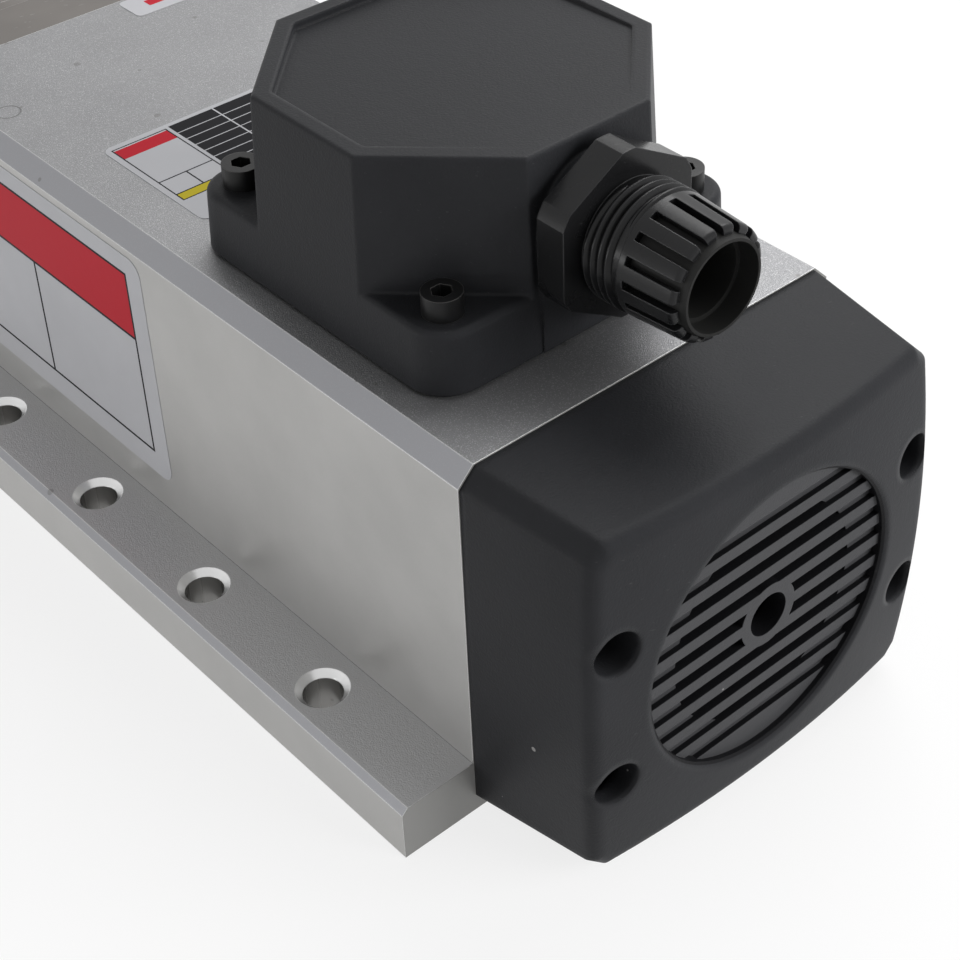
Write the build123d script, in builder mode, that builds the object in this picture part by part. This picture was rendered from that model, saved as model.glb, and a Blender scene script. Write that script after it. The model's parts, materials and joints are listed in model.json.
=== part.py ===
"""Square air-cooled motor spindle with foot flanges, a collet nose and a rear fan.

Millimetres. X runs across the spindle, Y along its axis from the collet nose (-Y) to the
fan cover (+Y), Z up. The origin lies on the mounting face, in the middle of the foot holes.
"""

import os
from math import atan, cos, degrees, radians, sin, sqrt, tan

from build123d import *

# ---------------------------------------------------------------- driving sizes
# Motor body: one aluminium extrusion with its feet
body_width = 103.0
body_height = 92.0
body_length = 210.0
body_edge = 4.0  # chamfer along the two upper edges
stator_bore_r = 40.0
foot_reach = 19.0  # how far each foot stands out from the side
foot_height = 14.0
foot_edge = 1.5

# Foot holes, for M8 screws
foot_hole_r = 4.5
foot_sink_r = 6.05
foot_hole_out = 9.5  # from the side of the body
foot_hole_pitch = 45.0
foot_hole_rows = 4
foot_hole_margin = 39.0  # last hole to the rear end of the body

# Corner air channels of the extrusion
channel_side_wall = 5.5
channel_top_wall = 5.0
channel_bore_web = 7.0
channel_low_z = 23.0  # above and below the axis, where the channels start
channel_round = 1.2

# Clearances
fit_gap = 0.05  # radial, between a seat and what is pushed into it
run_gap = 0.4  # between a turning piece and a standing one
thread_gap = 0.05  # radial, between a screw and its tapped hole
race_gap = 0.2  # between a ball and its races
fit_hole = 0.25  # radial, between a screw and its clearance hole
seat_gap = 0.1  # between pieces laid side by side

# Fasteners
m5_r = 2.5
m4_r = 2.0
end_screw_circle_r = 43.5  # the screws that hold both end housings to the body
end_screw_angle = 50.0
end_screw_bite = 12.0  # thread engaged in the body
tap_spare = 1.0  # a tapped hole is this much deeper than its screw
head_r_ratio = 1.7  # cap screw head and key, in thread radii
head_height_ratio = 2.0
key_ratio = 0.8
key_depth_ratio = 1.2

# Front bearing housing and nose
front_flange_t = 18.0
end_step = 0.3  # how far an end part stays inside the body's outline
spigot_length = 6.0
nose_r = 33.0
nose_length = 30.0
nose_edge = 2.0
front_cap_r = 32.0
front_cap_t = 6.0
front_cap_spigot = 2.0
front_cap_spigot_t = 2.5
front_cap_sink = 3.6
front_cap_screw_bite = 9.0
front_cap_screw_r = 27.5

# Front bearings (a matched pair) and rear bearing
front_bearing_bore_r = 12.5
front_bearing_outer_r = 23.5
front_bearing_width = 12.0
front_ball_r = 3.0
front_ball_count = 11
rear_bearing_bore_r = 8.5
rear_bearing_outer_r = 17.5
rear_bearing_width = 10.0
rear_ball_r = 2.4
rear_ball_count = 9
race_land = 1.4  # half height of the open space between the two rings
cage_half_t = 0.9
cage_side = 0.8  # cage beside each pocket

# Shaft
shaft_bore_clear_r = 16.5  # hole in the front housing behind the bearings
shaft_collar_r = 15.5
shaft_collar_length = 7.0
rotor_seat_r = 14.0
rear_shoulder_r = 11.0
fan_seat_r = 6.0
fan_screw_r = 2.5
fan_screw_length = 14.0
fan_screw_head_t = 3.5
motor_step_r = 13.0  # between the rotor and the rear shoulder
shaft_nose_r = 12.5  # M25 thread
wrench_flat = 22.0
wrench_length = 8.0
labyrinth_r = 17.5
labyrinth_length = 11.0
labyrinth_pin_r = 1.2  # spanner holes in its face
labyrinth_pin_depth = 3.0
nose_free_length = 22.0  # shaft beyond the labyrinth nut

# Collet and its nut
collet_r = 10.5
collet_taper = 8.0
collet_taper_length = 24.0
collet_groove_r = 9.2
collet_groove_w = 2.0
collet_collar_r = 10.0
collet_collar_w = 1.4
collet_face_r = 8.2
collet_bore_r = 3.0  # for a 6 mm tool shank
collet_slots = 6
collet_turn = 8.0  # how far its slots stand off the upright
collet_slot_w = 0.6
collet_web = 7.0  # length that each slot leaves uncut
collet_gap = 0.06
collet_proud = 0.6  # how far the widest ring stands out of the shaft
socket_relief_r = 6.6
socket_relief_length = 14.0
nut_r = 17.0
nut_flats = 30.0
nut_length = 19.0
nut_bevel = 3.0
nut_gap = 0.2  # around the collet's collar

# Motor
stator_length = 100.0
stator_middle_y = -2.0
stator_inner_r = 23.0
stator_slots = 18
slot_depth = 10.0
slot_width = 4.4
slot_mouth = 1.6
slot_mouth_depth = 2.0
winding_overhang = 17.0
winding_inner_r = 26.0
winding_outer_r = 37.0
winding_end_gap = 2.0
winding_round = 3.0
rotor_end_ring_w = 9.0
rotor_end_ring_t = 7.0

# Rear bearing housing, inside the fan cover
rear_plate_side = 17.0  # left open for the air at each side
rear_plate_top = 4.5  # above and below it
rear_plate_t = 8.0
rear_plate_corner = 6.0
rear_boss_r = 24.0
rear_boss_length = 12.5
rear_shaft_hole_r = 9.5
spring_t = 0.8
spring_band = 3.6
spring_cone = 18.0
spring_room = 2.4
circlip_r = 10.2
circlip_t = 1.0

# Fan
fan_r = 34.0
fan_hub_r = 11.0
fan_width = 13.0
fan_plate_t = 1.5
fan_blades = 9
fan_blade_t = 1.4
fan_sweep = 7.0
fan_plate_rim = 0.5
fan_front_gap = 2.5  # from the rear bearing housing
washer_r = 6.0
washer_t = 1.0

# Fan cover, a tapered moulding with a crowned rear face
cover_corner_length = 31.3
cover_taper_x = 4.0  # how far each side leans in
cover_taper_z = 2.2
cover_barrel = 2.0  # how far the rear section bows out at each side
cover_crown_x = 3.5
cover_crown_z = 2.3
cover_wall = 3.0
cover_cavity = 28.6
cover_rim_fillet = 3.5
cover_screw_x = 42.5
cover_screw_z = 17.6
cover_screw_well_r = 5.2
cover_screw_post_r = 6.5
cover_screw_seat = 10.0
cover_screw_bite = 14.0

# Grille of the fan cover
grille_r = 34.0
grille_face = 33.5  # from the rear end of the body
grille_pitch = 5.85
grille_channel = 2.95
grille_channels = 10
grille_depth = 1.3
grille_bevel = 1.1
grille_slot_rows = 8
grille_slot_r = 25.5
grille_hub_r = 7.8
grille_hole_r = 5.15

# Terminal box, a hood on the top face
hood_width = 79.0
hood_middle = 58.0  # from the rear end of the body to the middle of the hood
hood_taper = 2.1  # how far each side leans in
hood_edge_r = 1.5
hood_corner_r = 9.0
hood_height = 45.0
hood_cut = 23.3  # leg of the corner that the octagon loses
hood_ledge = 15.0
hood_wall = 2.5
hood_screw_spacing = 66.0
hood_screw_bite = 7.0
hood_ledge_fillet = 1.5
hood_top_fillet = 0.7
hood_rim = 4.0
hood_panel_dip = 1.8
gasket_t = 0.8
gasket_inset = 1.0

# Terminal board and leads
board_length = 50.0
board_width = 20.0
board_t = 8.0
board_feet = 6.0
board_foot_length = 5.0
stud_pitch = 12.0
stud_count = 3
stud_height = 8.0
terminal_nut_flats = 7.0
terminal_nut_t = 3.2
lead_slot_length = 32.0
lead_slot_width = 9.0
lead_r = 1.5
grommet_lip = 2.0
grommet_lip_t = 1.5
earth_screw_x = -26.0
earth_screw_bite = 6.0
earth_screw_front = 15.0  # from the middle of the hood towards the nose

# Cable gland
gland_height = 26.0  # above the top face
gland_pad_width = 30.0
gland_pad_t = 2.4
gland_washer_t = 1.0
gland_washer_r = 14.8
gland_flats = 34.2
gland_hex_w = 7.4
gland_corner_r = 18.8  # turned over the corners of the hexagon
gland_thread_r = 13.5
gland_thread_depth = 1.1
gland_thread_length = 10.0
gland_tail_length = 8.5
gland_bore_r = 9.6
gland_claw_base_r = 13.2
gland_claw_tip_r = 12.3
gland_claw_reach = 14.0  # beyond the end of the thread
gland_claw_t = 1.8
gland_claw_seat = 6.0
gland_claw_seat_r = 11.8
gland_fingers = 16
gland_finger_gap = 1.9
gland_finger_round = 1.2
gland_finger_base = 1.5
gland_seal_bore_r = 8.5
gland_seal_lip = 1.4
gland_seal_lip_bevel = 0.3
gland_seal_lip_r = 10.4
gland_seal_mouth_r = 9.45
gland_seal_step = 3.5

# ---------------------------------------------------------------- derived places
axis_z = body_height / 2
foot_hole_spacing = body_width + 2 * foot_hole_out
rear_y = foot_hole_margin + foot_hole_pitch * (foot_hole_rows - 1) / 2
front_y = rear_y - body_length
flange_y = front_y - front_flange_t
nose_y = flange_y - nose_length
front_cap_y = nose_y - front_cap_t

front_inner_y = nose_y + front_cap_spigot
front_bearing_ys = [front_inner_y + front_bearing_width * (n + 0.5) for n in range(2)]
front_shoulder_y = front_inner_y + 2 * front_bearing_width
front_pitch_r = (front_bearing_bore_r + front_bearing_outer_r) / 2

rear_bore_y = rear_y - rear_boss_length  # mouth of the rear bearing seat
rear_shoulder_y = rear_bore_y + rear_bearing_width + spring_room
rear_bearing_y = rear_bore_y + rear_bearing_width / 2
rear_pitch_r = (rear_bearing_bore_r + rear_bearing_outer_r) / 2
spring_middle_r = rear_bearing_outer_r - spring_band / 2 - 2 * spring_t / 3
rear_plate_y = rear_y + rear_plate_t

shaft_step_y = front_shoulder_y + shaft_collar_length
labyrinth_y = front_inner_y - labyrinth_length
shaft_nose_y = labyrinth_y - nose_free_length
stator_front_y = stator_middle_y - stator_length / 2
stator_rear_y = stator_middle_y + stator_length / 2
fan_y = rear_plate_y + fan_front_gap
fan_rear_y = fan_y + fan_width

hood_y = rear_y - hood_middle
hood_base_z = body_height + gasket_t
hood_top_z = body_height + hood_height
ledge_z = body_height + hood_ledge
hood_rear_y = hood_y + hood_width / 2
gland_z = body_height + gland_height
pad_y = hood_rear_y + gland_pad_t
gland_hex_y = pad_y + gland_washer_t
gland_thread_y = gland_hex_y + gland_hex_w
gland_mouth_y = gland_thread_y + gland_thread_length
claw_tip_y = gland_mouth_y + gland_claw_reach
lead_y = stator_rear_y + winding_overhang / 2
earth_screw_y = hood_y - earth_screw_front

# ---------------------------------------------------------------- planes and helpers
spindle_axis = Axis((0, 0, axis_z), (0, 1, 0))
gland_axis = Axis((0, 0, gland_z), (0, 1, 0))


def facing_front(y, z=axis_z):
    """Plane across the spindle at station y that looks towards the nose."""
    return Plane(origin=(0, y, z), x_dir=(1, 0, 0), z_dir=(0, -1, 0))


def facing_rear(y, z=axis_z):
    """Plane across the spindle at station y that looks towards the fan cover."""
    return Plane(origin=(0, y, z), x_dir=(-1, 0, 0), z_dir=(0, 1, 0))


def half_section(z=axis_z):
    """Plane through an axis at height z: local x is the station y, local y the radius."""
    return Plane(origin=(0, 0, z), x_dir=(0, 1, 0), z_dir=(1, 0, 0))


def turned(points, z=axis_z):
    """Half section of a turned piece, from its (station, radius) corners."""
    with BuildSketch(half_section(z)) as half:
        with BuildLine():
            Polyline(*points, close=True)
        make_face()
    return half.sketch


def corners(x, y):
    """The four points at +-x, +-y."""
    return [(i * x, j * y) for i in (-1, 1) for j in (-1, 1)]


def body_outline(step=0.0):
    """The body's section without its feet, drawn inwards by a step."""
    with BuildSketch() as outline:
        Rectangle(body_width - 2 * step, body_height - 2 * step)
        chamfer(outline.vertices().group_by(Axis.Y)[-1], body_edge)
    return outline.sketch


def air_channels():
    """The four corner channels between the bore's wall and the outer walls."""
    with BuildSketch() as channels:
        Rectangle(body_width - 2 * channel_side_wall, body_height - 2 * channel_top_wall)
        Circle(stator_bore_r + channel_bore_web, mode=Mode.SUBTRACT)
        Rectangle(body_width, 2 * channel_low_z, mode=Mode.SUBTRACT)
        fillet(channels.vertices(), channel_round)
    return channels.sketch


def cap_screws(seat, points, thread_r, grip):
    """Socket head cap screws with their heads on a seat plane."""
    head_h = head_height_ratio * thread_r
    with BuildPart() as screws:
        with BuildSketch(seat):
            with Locations(*points):
                Circle(head_r_ratio * thread_r)
        extrude(amount=head_h)
        with BuildSketch(seat):
            with Locations(*points):
                Circle(thread_r)
        extrude(amount=-grip)
        with BuildSketch(seat.offset(head_h)):
            with Locations(*points):
                RegularPolygon(key_ratio * thread_r, 6, major_radius=False)
        extrude(amount=-key_depth_ratio * thread_r, mode=Mode.SUBTRACT)
    return screws


def saved(piece, name):
    """Label a finished piece and write it as one STEP file."""
    piece.part.label = name
    export_step(piece.part, f"parts/{name}.step")


os.makedirs("parts", exist_ok=True)

end_screws = corners(
    end_screw_circle_r * cos(radians(end_screw_angle)),
    end_screw_circle_r * sin(radians(end_screw_angle)),
)
cap_screws_at = corners(front_cap_screw_r / sqrt(2), front_cap_screw_r / sqrt(2))
cover_screws = corners(cover_screw_x, cover_screw_z)
hood_screws = corners(hood_screw_spacing / 2, hood_screw_spacing / 2)

# ---------------------------------------------------------------- motor housing
with BuildPart() as motor_housing:
    with BuildSketch(facing_front(rear_y)):
        add(body_outline())
        with BuildLine():
            Polyline(
                (0, -axis_z),
                (body_width / 2 + foot_reach, -axis_z),
                (body_width / 2 + foot_reach, foot_height - foot_edge - axis_z),
                (body_width / 2 + foot_reach - foot_edge, foot_height - axis_z),
                (0, foot_height - axis_z),
            )
            mirror(about=Plane.YZ)
        make_face()
        Circle(stator_bore_r, mode=Mode.SUBTRACT)
        add(air_channels(), mode=Mode.SUBTRACT)
    extrude(amount=body_length)
    with Locations(Plane.XY.offset(foot_height)):
        with GridLocations(foot_hole_spacing, foot_hole_pitch, 2, foot_hole_rows):
            CounterSinkHole(foot_hole_r, foot_sink_r, foot_height, counter_sink_angle=90)
    with BuildSketch(Plane.XY.offset(body_height)):
        with Locations((0, lead_y)):
            SlotOverall(lead_slot_length, lead_slot_width)
    extrude(amount=stator_bore_r / 2 - body_height / 2, mode=Mode.SUBTRACT)
    with Locations(Plane.XY.offset(body_height)):
        with Locations((0, hood_y)):
            with GridLocations(hood_screw_spacing, hood_screw_spacing, 2, 2):
                Hole(m5_r + thread_gap, depth=hood_screw_bite + tap_spare)
        with Locations((earth_screw_x, earth_screw_y)):
            Hole(m4_r + thread_gap, depth=earth_screw_bite + tap_spare)
    for end in (facing_front(front_y), facing_rear(rear_y)):
        with Locations(end):
            with Locations(*end_screws):
                Hole(m4_r + thread_gap, depth=end_screw_bite + tap_spare)
    with Locations(facing_rear(rear_y)):
        with Locations(*cover_screws):
            Hole(m5_r + thread_gap, depth=cover_screw_bite + tap_spare)
saved(motor_housing, "motor_housing")

# ---------------------------------------------------------------- front bearing housing
with BuildPart() as front_bearing_housing:
    with BuildSketch(facing_front(front_y)):
        add(body_outline(end_step))
        add(air_channels(), mode=Mode.SUBTRACT)
    extrude(amount=front_flange_t)
    with BuildSketch(facing_front(flange_y)):
        Circle(nose_r)
    extrude(amount=nose_length)
    chamfer(front_bearing_housing.edges().group_by(Axis.Y)[0], nose_edge)
    with BuildSketch(facing_rear(front_y)):
        Circle(stator_bore_r - fit_gap)
    extrude(amount=spigot_length)
    with Locations(facing_front(nose_y)):
        Hole(shaft_bore_clear_r)
        CounterBoreHole(
            shaft_bore_clear_r, front_bearing_outer_r + fit_gap, front_shoulder_y - nose_y
        )
        with Locations(*cap_screws_at):
            Hole(m4_r + thread_gap, depth=front_cap_screw_bite + tap_spare)
    with Locations(facing_front(flange_y)):
        with Locations(*end_screws):
            CounterBoreHole(m4_r + fit_hole, 2 * m4_r, 2 * m4_r, depth=front_flange_t)
saved(front_bearing_housing, "front_bearing_housing")

front_housing_screws = cap_screws(
    facing_front(flange_y + 2 * m4_r), end_screws, m4_r, front_flange_t - 2 * m4_r + end_screw_bite
)
saved(front_housing_screws, "front_housing_screws")

with BuildPart() as front_cap:
    revolve(
        turned(
            [
                (nose_y, labyrinth_r + run_gap),
                (front_cap_y, labyrinth_r + run_gap),
                (front_cap_y, front_cap_r - nose_edge),
                (front_cap_y + nose_edge, front_cap_r),
                (nose_y, front_cap_r),
                (nose_y, front_bearing_outer_r - fit_gap),
                (front_inner_y, front_bearing_outer_r - fit_gap),
                (front_inner_y, front_bearing_outer_r - front_cap_spigot_t),
                (nose_y, front_bearing_outer_r - front_cap_spigot_t),
            ]
        ),
        axis=spindle_axis,
    )
    with Locations(facing_front(front_cap_y)):
        with Locations(*cap_screws_at):
            CounterBoreHole(m4_r + fit_hole, 2 * m4_r, front_cap_sink, depth=front_cap_t)
saved(front_cap, "front_cap")

front_cap_screws = cap_screws(
    facing_front(front_cap_y + front_cap_sink),
    cap_screws_at,
    m4_r,
    front_cap_t - front_cap_sink + front_cap_screw_bite,
)
saved(front_cap_screws, "front_cap_screws")


# ---------------------------------------------------------------- ball bearings
def bearing_ring(ys, width, r_in, r_out, ball_r, pitch_r):
    """Bearing rings side by side, each with a race for balls on the pitch radius."""
    with BuildPart() as rings:
        with BuildSketch(half_section()):
            with Locations(*[(y, (r_in + r_out) / 2) for y in ys]):
                Rectangle(width - seat_gap, r_out - r_in)
            with Locations(*[(y, pitch_r) for y in ys]):
                Circle(ball_r + race_gap, mode=Mode.SUBTRACT)
        revolve(axis=spindle_axis)
    return rings


def ball_cage(ys, ball_r, pitch_r, count):
    """Cage rings with one round pocket for each ball."""
    with BuildPart() as cages:
        with BuildSketch(half_section()):
            with Locations(*[(y, pitch_r) for y in ys]):
                Rectangle(2 * (ball_r + cage_side), 2 * cage_half_t)
        revolve(axis=spindle_axis)
        with Locations(*[facing_front(y) for y in ys]):
            with PolarLocations(pitch_r, count):
                Cylinder(
                    ball_r + seat_gap, 6 * cage_half_t, rotation=(0, 90, 0), mode=Mode.SUBTRACT
                )
    return cages


def ball_set(ys, ball_r, pitch_r, count):
    """The balls of one or more bearings."""
    with BuildPart() as balls:
        with Locations(*[facing_front(y) for y in ys]):
            with PolarLocations(pitch_r, count):
                Sphere(ball_r)
    return balls


for end, ys, width, bore_r, outer_r, ball_r, pitch_r, count in (
    ("front", front_bearing_ys, front_bearing_width, front_bearing_bore_r,
     front_bearing_outer_r, front_ball_r, front_pitch_r, front_ball_count),
    ("rear", [rear_bearing_y], rear_bearing_width, rear_bearing_bore_r,
     rear_bearing_outer_r, rear_ball_r, rear_pitch_r, rear_ball_count),
):
    inner = bearing_ring(ys, width, bore_r, pitch_r - race_land, ball_r, pitch_r)
    saved(inner, f"{end}_bearing_inner_ring")
    outer = bearing_ring(ys, width, pitch_r + race_land, outer_r, ball_r, pitch_r)
    saved(outer, f"{end}_bearing_outer_ring")
    saved(ball_cage(ys, ball_r, pitch_r, count), f"{end}_bearing_cage")
    saved(ball_set(ys, ball_r, pitch_r, count), f"{end}_bearing_balls")

# ---------------------------------------------------------------- shaft
collet_wide_y = shaft_nose_y - collet_proud
collet_rear_y = collet_wide_y + collet_taper_length
collet_slope = tan(radians(collet_taper))
collet_rear_r = collet_r - collet_taper_length * collet_slope

with BuildPart() as spindle_shaft:
    revolve(
        turned(
            [
                (shaft_nose_y, 0),
                (shaft_nose_y, shaft_nose_r),
                (front_shoulder_y, shaft_nose_r),
                (front_shoulder_y, shaft_collar_r),
                (shaft_step_y, shaft_collar_r),
                (shaft_step_y, rotor_seat_r),
                (stator_rear_y, rotor_seat_r),
                (stator_rear_y, motor_step_r),
                (stator_rear_y + winding_overhang, motor_step_r),
                (stator_rear_y + winding_overhang, rear_shoulder_r),
                (rear_bore_y, rear_shoulder_r),
                (rear_bore_y, rear_bearing_bore_r),
                (rear_shoulder_y, rear_bearing_bore_r),
                (rear_shoulder_y, fan_seat_r),
                (fan_rear_y, fan_seat_r),
                (fan_rear_y, 0),
            ]
        ),
        axis=spindle_axis,
    )
    revolve(
        turned(
            [
                (shaft_nose_y, 0),
                (shaft_nose_y, collet_r + collet_gap - collet_proud * collet_slope),
                (collet_rear_y, collet_rear_r + collet_gap),
                (collet_rear_y, socket_relief_r),
                (collet_rear_y + socket_relief_length, socket_relief_r),
                (collet_rear_y + socket_relief_length + socket_relief_r / 2, 0),
            ]
        ),
        axis=spindle_axis,
        mode=Mode.SUBTRACT,
    )
    with BuildSketch(facing_rear(labyrinth_y - wrench_length)):
        Circle(2 * shaft_nose_r)
        Rectangle(4 * shaft_nose_r, wrench_flat, mode=Mode.SUBTRACT)
    extrude(amount=wrench_length, mode=Mode.SUBTRACT)
    with Locations(facing_rear(fan_rear_y)):
        Hole(fan_screw_r + thread_gap, depth=fan_screw_length)
saved(spindle_shaft, "spindle_shaft")

with BuildPart() as labyrinth_nut:
    revolve(
        turned(
            [
                (front_inner_y, shaft_nose_r + fit_gap),
                (front_inner_y, front_pitch_r - race_land),
                (nose_y, front_pitch_r - race_land),
                (nose_y, labyrinth_r),
                (labyrinth_y + 1, labyrinth_r),
                (labyrinth_y, labyrinth_r - 1),
                (labyrinth_y, shaft_nose_r + fit_gap),
            ]
        ),
        axis=spindle_axis,
    )
    with Locations(facing_front(labyrinth_y)):
        with PolarLocations((labyrinth_r + shaft_nose_r) / 2, 4):
            Hole(labyrinth_pin_r, depth=labyrinth_pin_depth)
saved(labyrinth_nut, "labyrinth_nut")

# ---------------------------------------------------------------- collet and nut
groove_y = collet_wide_y - collet_proud
collar_y = groove_y - collet_groove_w
collet_cone_y = collar_y - collet_collar_w
collet_face_y = collet_cone_y - (collet_collar_r - collet_face_r) / tan(radians(30))

with BuildPart() as collet:
    revolve(
        turned(
            [
                (collet_rear_y, 0),
                (collet_rear_y, collet_rear_r),
                (collet_wide_y, collet_r),
                (groove_y, collet_r),
                (groove_y, collet_groove_r),
                (collar_y, collet_groove_r),
                (collar_y, collet_collar_r),
                (collet_cone_y, collet_collar_r),
                (collet_face_y, collet_face_r),
                (collet_face_y, 0),
            ]
        ),
        axis=spindle_axis,
    )
    with Locations(facing_front(collet_face_y)):
        Hole(collet_bore_r)
    for end, turn in (
        (facing_front(collet_rear_y - collet_web), collet_turn),
        (facing_rear(collet_face_y + collet_web), 180 / collet_slots - collet_turn),
    ):
        with BuildSketch(end):
            with PolarLocations(collet_r / 2 + collet_bore_r / 2, collet_slots, start_angle=turn):
                Rectangle(collet_r, collet_slot_w)
        extrude(amount=2 * collet_taper_length, mode=Mode.SUBTRACT)
saved(collet, "collet")

lip_y = groove_y - nut_gap
nut_front_y = collet_face_y
nut_rear_y = nut_front_y + nut_length

with BuildPart() as collet_nut:
    revolve(
        turned(
            [
                (nut_rear_y, shaft_nose_r + fit_gap),
                (lip_y, shaft_nose_r + fit_gap),
                (lip_y, collet_groove_r + nut_gap),
                (collar_y + nut_gap, collet_groove_r + nut_gap),
                (collar_y + nut_gap, collet_collar_r + nut_gap),
                (collet_cone_y, collet_collar_r + nut_gap),
                (nut_front_y, collet_face_r + nut_gap),
                (nut_front_y, nut_r - nut_bevel),
                (nut_front_y + nut_bevel, nut_r),
                (nut_rear_y - nut_bevel / 2, nut_r),
                (nut_rear_y, nut_r - nut_bevel / 2),
            ]
        ),
        axis=spindle_axis,
    )
    with BuildSketch(facing_front(nut_rear_y)):
        RegularPolygon(nut_flats / 2, 6, major_radius=False)
    extrude(amount=nut_length, mode=Mode.INTERSECT)
saved(collet_nut, "collet_nut")

# ---------------------------------------------------------------- motor
slot_middle_r = stator_inner_r + slot_mouth_depth + slot_depth / 2
overhang_ys = (stator_front_y - winding_overhang / 2, lead_y)

with BuildPart() as stator_core:
    with BuildSketch(facing_front(stator_rear_y)):
        Circle(stator_bore_r - fit_gap)
        Circle(stator_inner_r, mode=Mode.SUBTRACT)
        with PolarLocations(slot_middle_r, stator_slots):
            Rectangle(slot_depth, slot_width, mode=Mode.SUBTRACT)
        with PolarLocations(stator_inner_r + slot_mouth_depth / 2, stator_slots):
            Rectangle(slot_mouth_depth + seat_gap, slot_mouth, mode=Mode.SUBTRACT)
    extrude(amount=stator_length)
saved(stator_core, "stator_core")

with BuildPart() as stator_windings:
    with BuildSketch(facing_front(lead_y)):
        with PolarLocations(slot_middle_r, stator_slots):
            Rectangle(slot_depth - 4 * seat_gap, slot_width - 4 * seat_gap)
    extrude(amount=stator_length + winding_overhang)
    with BuildSketch(half_section()):
        with Locations(*[(y, (winding_inner_r + winding_outer_r) / 2) for y in overhang_ys]):
            RectangleRounded(
                winding_overhang - winding_end_gap, winding_outer_r - winding_inner_r, winding_round
            )
    revolve(axis=spindle_axis)
saved(stator_windings, "stator_windings")

with BuildPart() as rotor_core:
    with BuildSketch(facing_front(stator_rear_y)):
        Circle(stator_inner_r - run_gap)
        Circle(rotor_seat_r, mode=Mode.SUBTRACT)
    extrude(amount=stator_length)
saved(rotor_core, "rotor_core")

with BuildPart() as rotor_end_rings:
    with BuildSketch(half_section()):
        with Locations(
            *[
                (y, stator_inner_r - run_gap - rotor_end_ring_t / 2)
                for y in (
                    stator_front_y - rotor_end_ring_w / 2,
                    stator_rear_y + rotor_end_ring_w / 2,
                )
            ]
        ):
            Rectangle(rotor_end_ring_w, rotor_end_ring_t)
    revolve(axis=spindle_axis)
saved(rotor_end_rings, "rotor_end_rings")

# ---------------------------------------------------------------- rear bearing housing
with BuildPart() as rear_bearing_housing:
    with BuildSketch(facing_rear(rear_y)):
        RectangleRounded(
            body_width - 2 * rear_plate_side, body_height - 2 * rear_plate_top, rear_plate_corner
        )
    extrude(amount=rear_plate_t)
    with BuildSketch(facing_front(rear_y)):
        Circle(stator_bore_r - fit_gap)
    extrude(amount=spigot_length)
    with BuildSketch(facing_front(rear_y)):
        Circle(rear_boss_r)
    extrude(amount=rear_boss_length)
    with Locations(facing_front(rear_bore_y)):
        CounterBoreHole(
            rear_shaft_hole_r, rear_bearing_outer_r + fit_gap, rear_bearing_width + spring_room
        )
    with Locations(facing_rear(rear_plate_y)):
        with Locations(*end_screws):
            Hole(m4_r + fit_hole)
saved(rear_bearing_housing, "rear_bearing_housing")

rear_housing_screws = cap_screws(facing_rear(rear_plate_y), end_screws, m4_r, rear_plate_t + end_screw_bite)
saved(rear_housing_screws, "rear_housing_screws")

with BuildPart() as preload_spring:
    with BuildSketch(half_section()):
        with Locations((rear_shoulder_y - spring_room / 2, spring_middle_r)):
            Rectangle(spring_t, spring_band, rotation=spring_cone)
    revolve(axis=spindle_axis)
saved(preload_spring, "preload_spring")

with BuildPart() as rear_circlip:
    with BuildSketch(facing_rear(rear_shoulder_y - spring_room)):
        Circle(circlip_r)
        Circle(rear_bearing_bore_r, mode=Mode.SUBTRACT)
        with Locations((0, -circlip_r)):
            Rectangle(2 * spring_room, circlip_r, mode=Mode.SUBTRACT)
    extrude(amount=circlip_t)
saved(rear_circlip, "rear_circlip")

# ---------------------------------------------------------------- fan
with BuildPart() as cooling_fan:
    with BuildSketch(facing_rear(fan_y)):
        with PolarLocations(0, fan_blades):
            with BuildLine():
                blade = ThreePointArc(
                    (fan_hub_r - 1, 0), ((fan_hub_r + fan_r) / 2, fan_sweep / 2), (fan_r, fan_sweep)
                )
                offset(blade, amount=fan_blade_t / 2)
            make_face()
        Circle(fan_r - fan_plate_rim, mode=Mode.INTERSECT)
        Circle(fan_hub_r)
    extrude(amount=fan_width)
    with BuildSketch(facing_rear(fan_y)):
        Circle(fan_r)
    extrude(amount=fan_plate_t)
    with Locations(facing_rear(fan_rear_y)):
        Hole(fan_seat_r)
saved(cooling_fan, "cooling_fan")

with BuildPart() as fan_screw:
    with BuildSketch(facing_rear(fan_rear_y)):
        Circle(washer_r)
    extrude(amount=washer_t)
    with BuildSketch(facing_rear(fan_rear_y + washer_t)):
        RegularPolygon(head_r_ratio * fan_screw_r, 6, major_radius=False)
    extrude(amount=fan_screw_head_t)
    with BuildSketch(facing_front(fan_rear_y)):
        Circle(fan_screw_r)
    extrude(amount=fan_screw_length - 2 * washer_t)
saved(fan_screw, "fan_screw")


# ---------------------------------------------------------------- fan cover
def cover_section(y, inset):
    """The cover's section at a distance y behind the body, drawn inwards by an inset."""
    run = y / cover_corner_length
    half_w = body_width / 2 - end_step - inset - cover_taper_x * run
    half_h = body_height / 2 - end_step - inset - cover_taper_z * run
    bow = cover_barrel * run + end_step / 2
    with BuildSketch(facing_front(rear_y + y)) as section:
        with BuildLine():
            Polyline(
                (-half_w, half_h - body_edge),
                (body_edge - half_w, half_h),
                (half_w - body_edge, half_h),
                (half_w, half_h - body_edge),
            )
            ThreePointArc(
                (half_w, half_h - body_edge), (half_w + bow, 0), (half_w, body_edge - half_h)
            )
            Polyline(
                (half_w, body_edge - half_h),
                (half_w - body_edge, -half_h),
                (body_edge - half_w, -half_h),
                (-half_w, body_edge - half_h),
            )
            ThreePointArc(
                (-half_w, body_edge - half_h), (-half_w - bow, 0), (-half_w, half_h - body_edge)
            )
        make_face()
    return section.sketch


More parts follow.
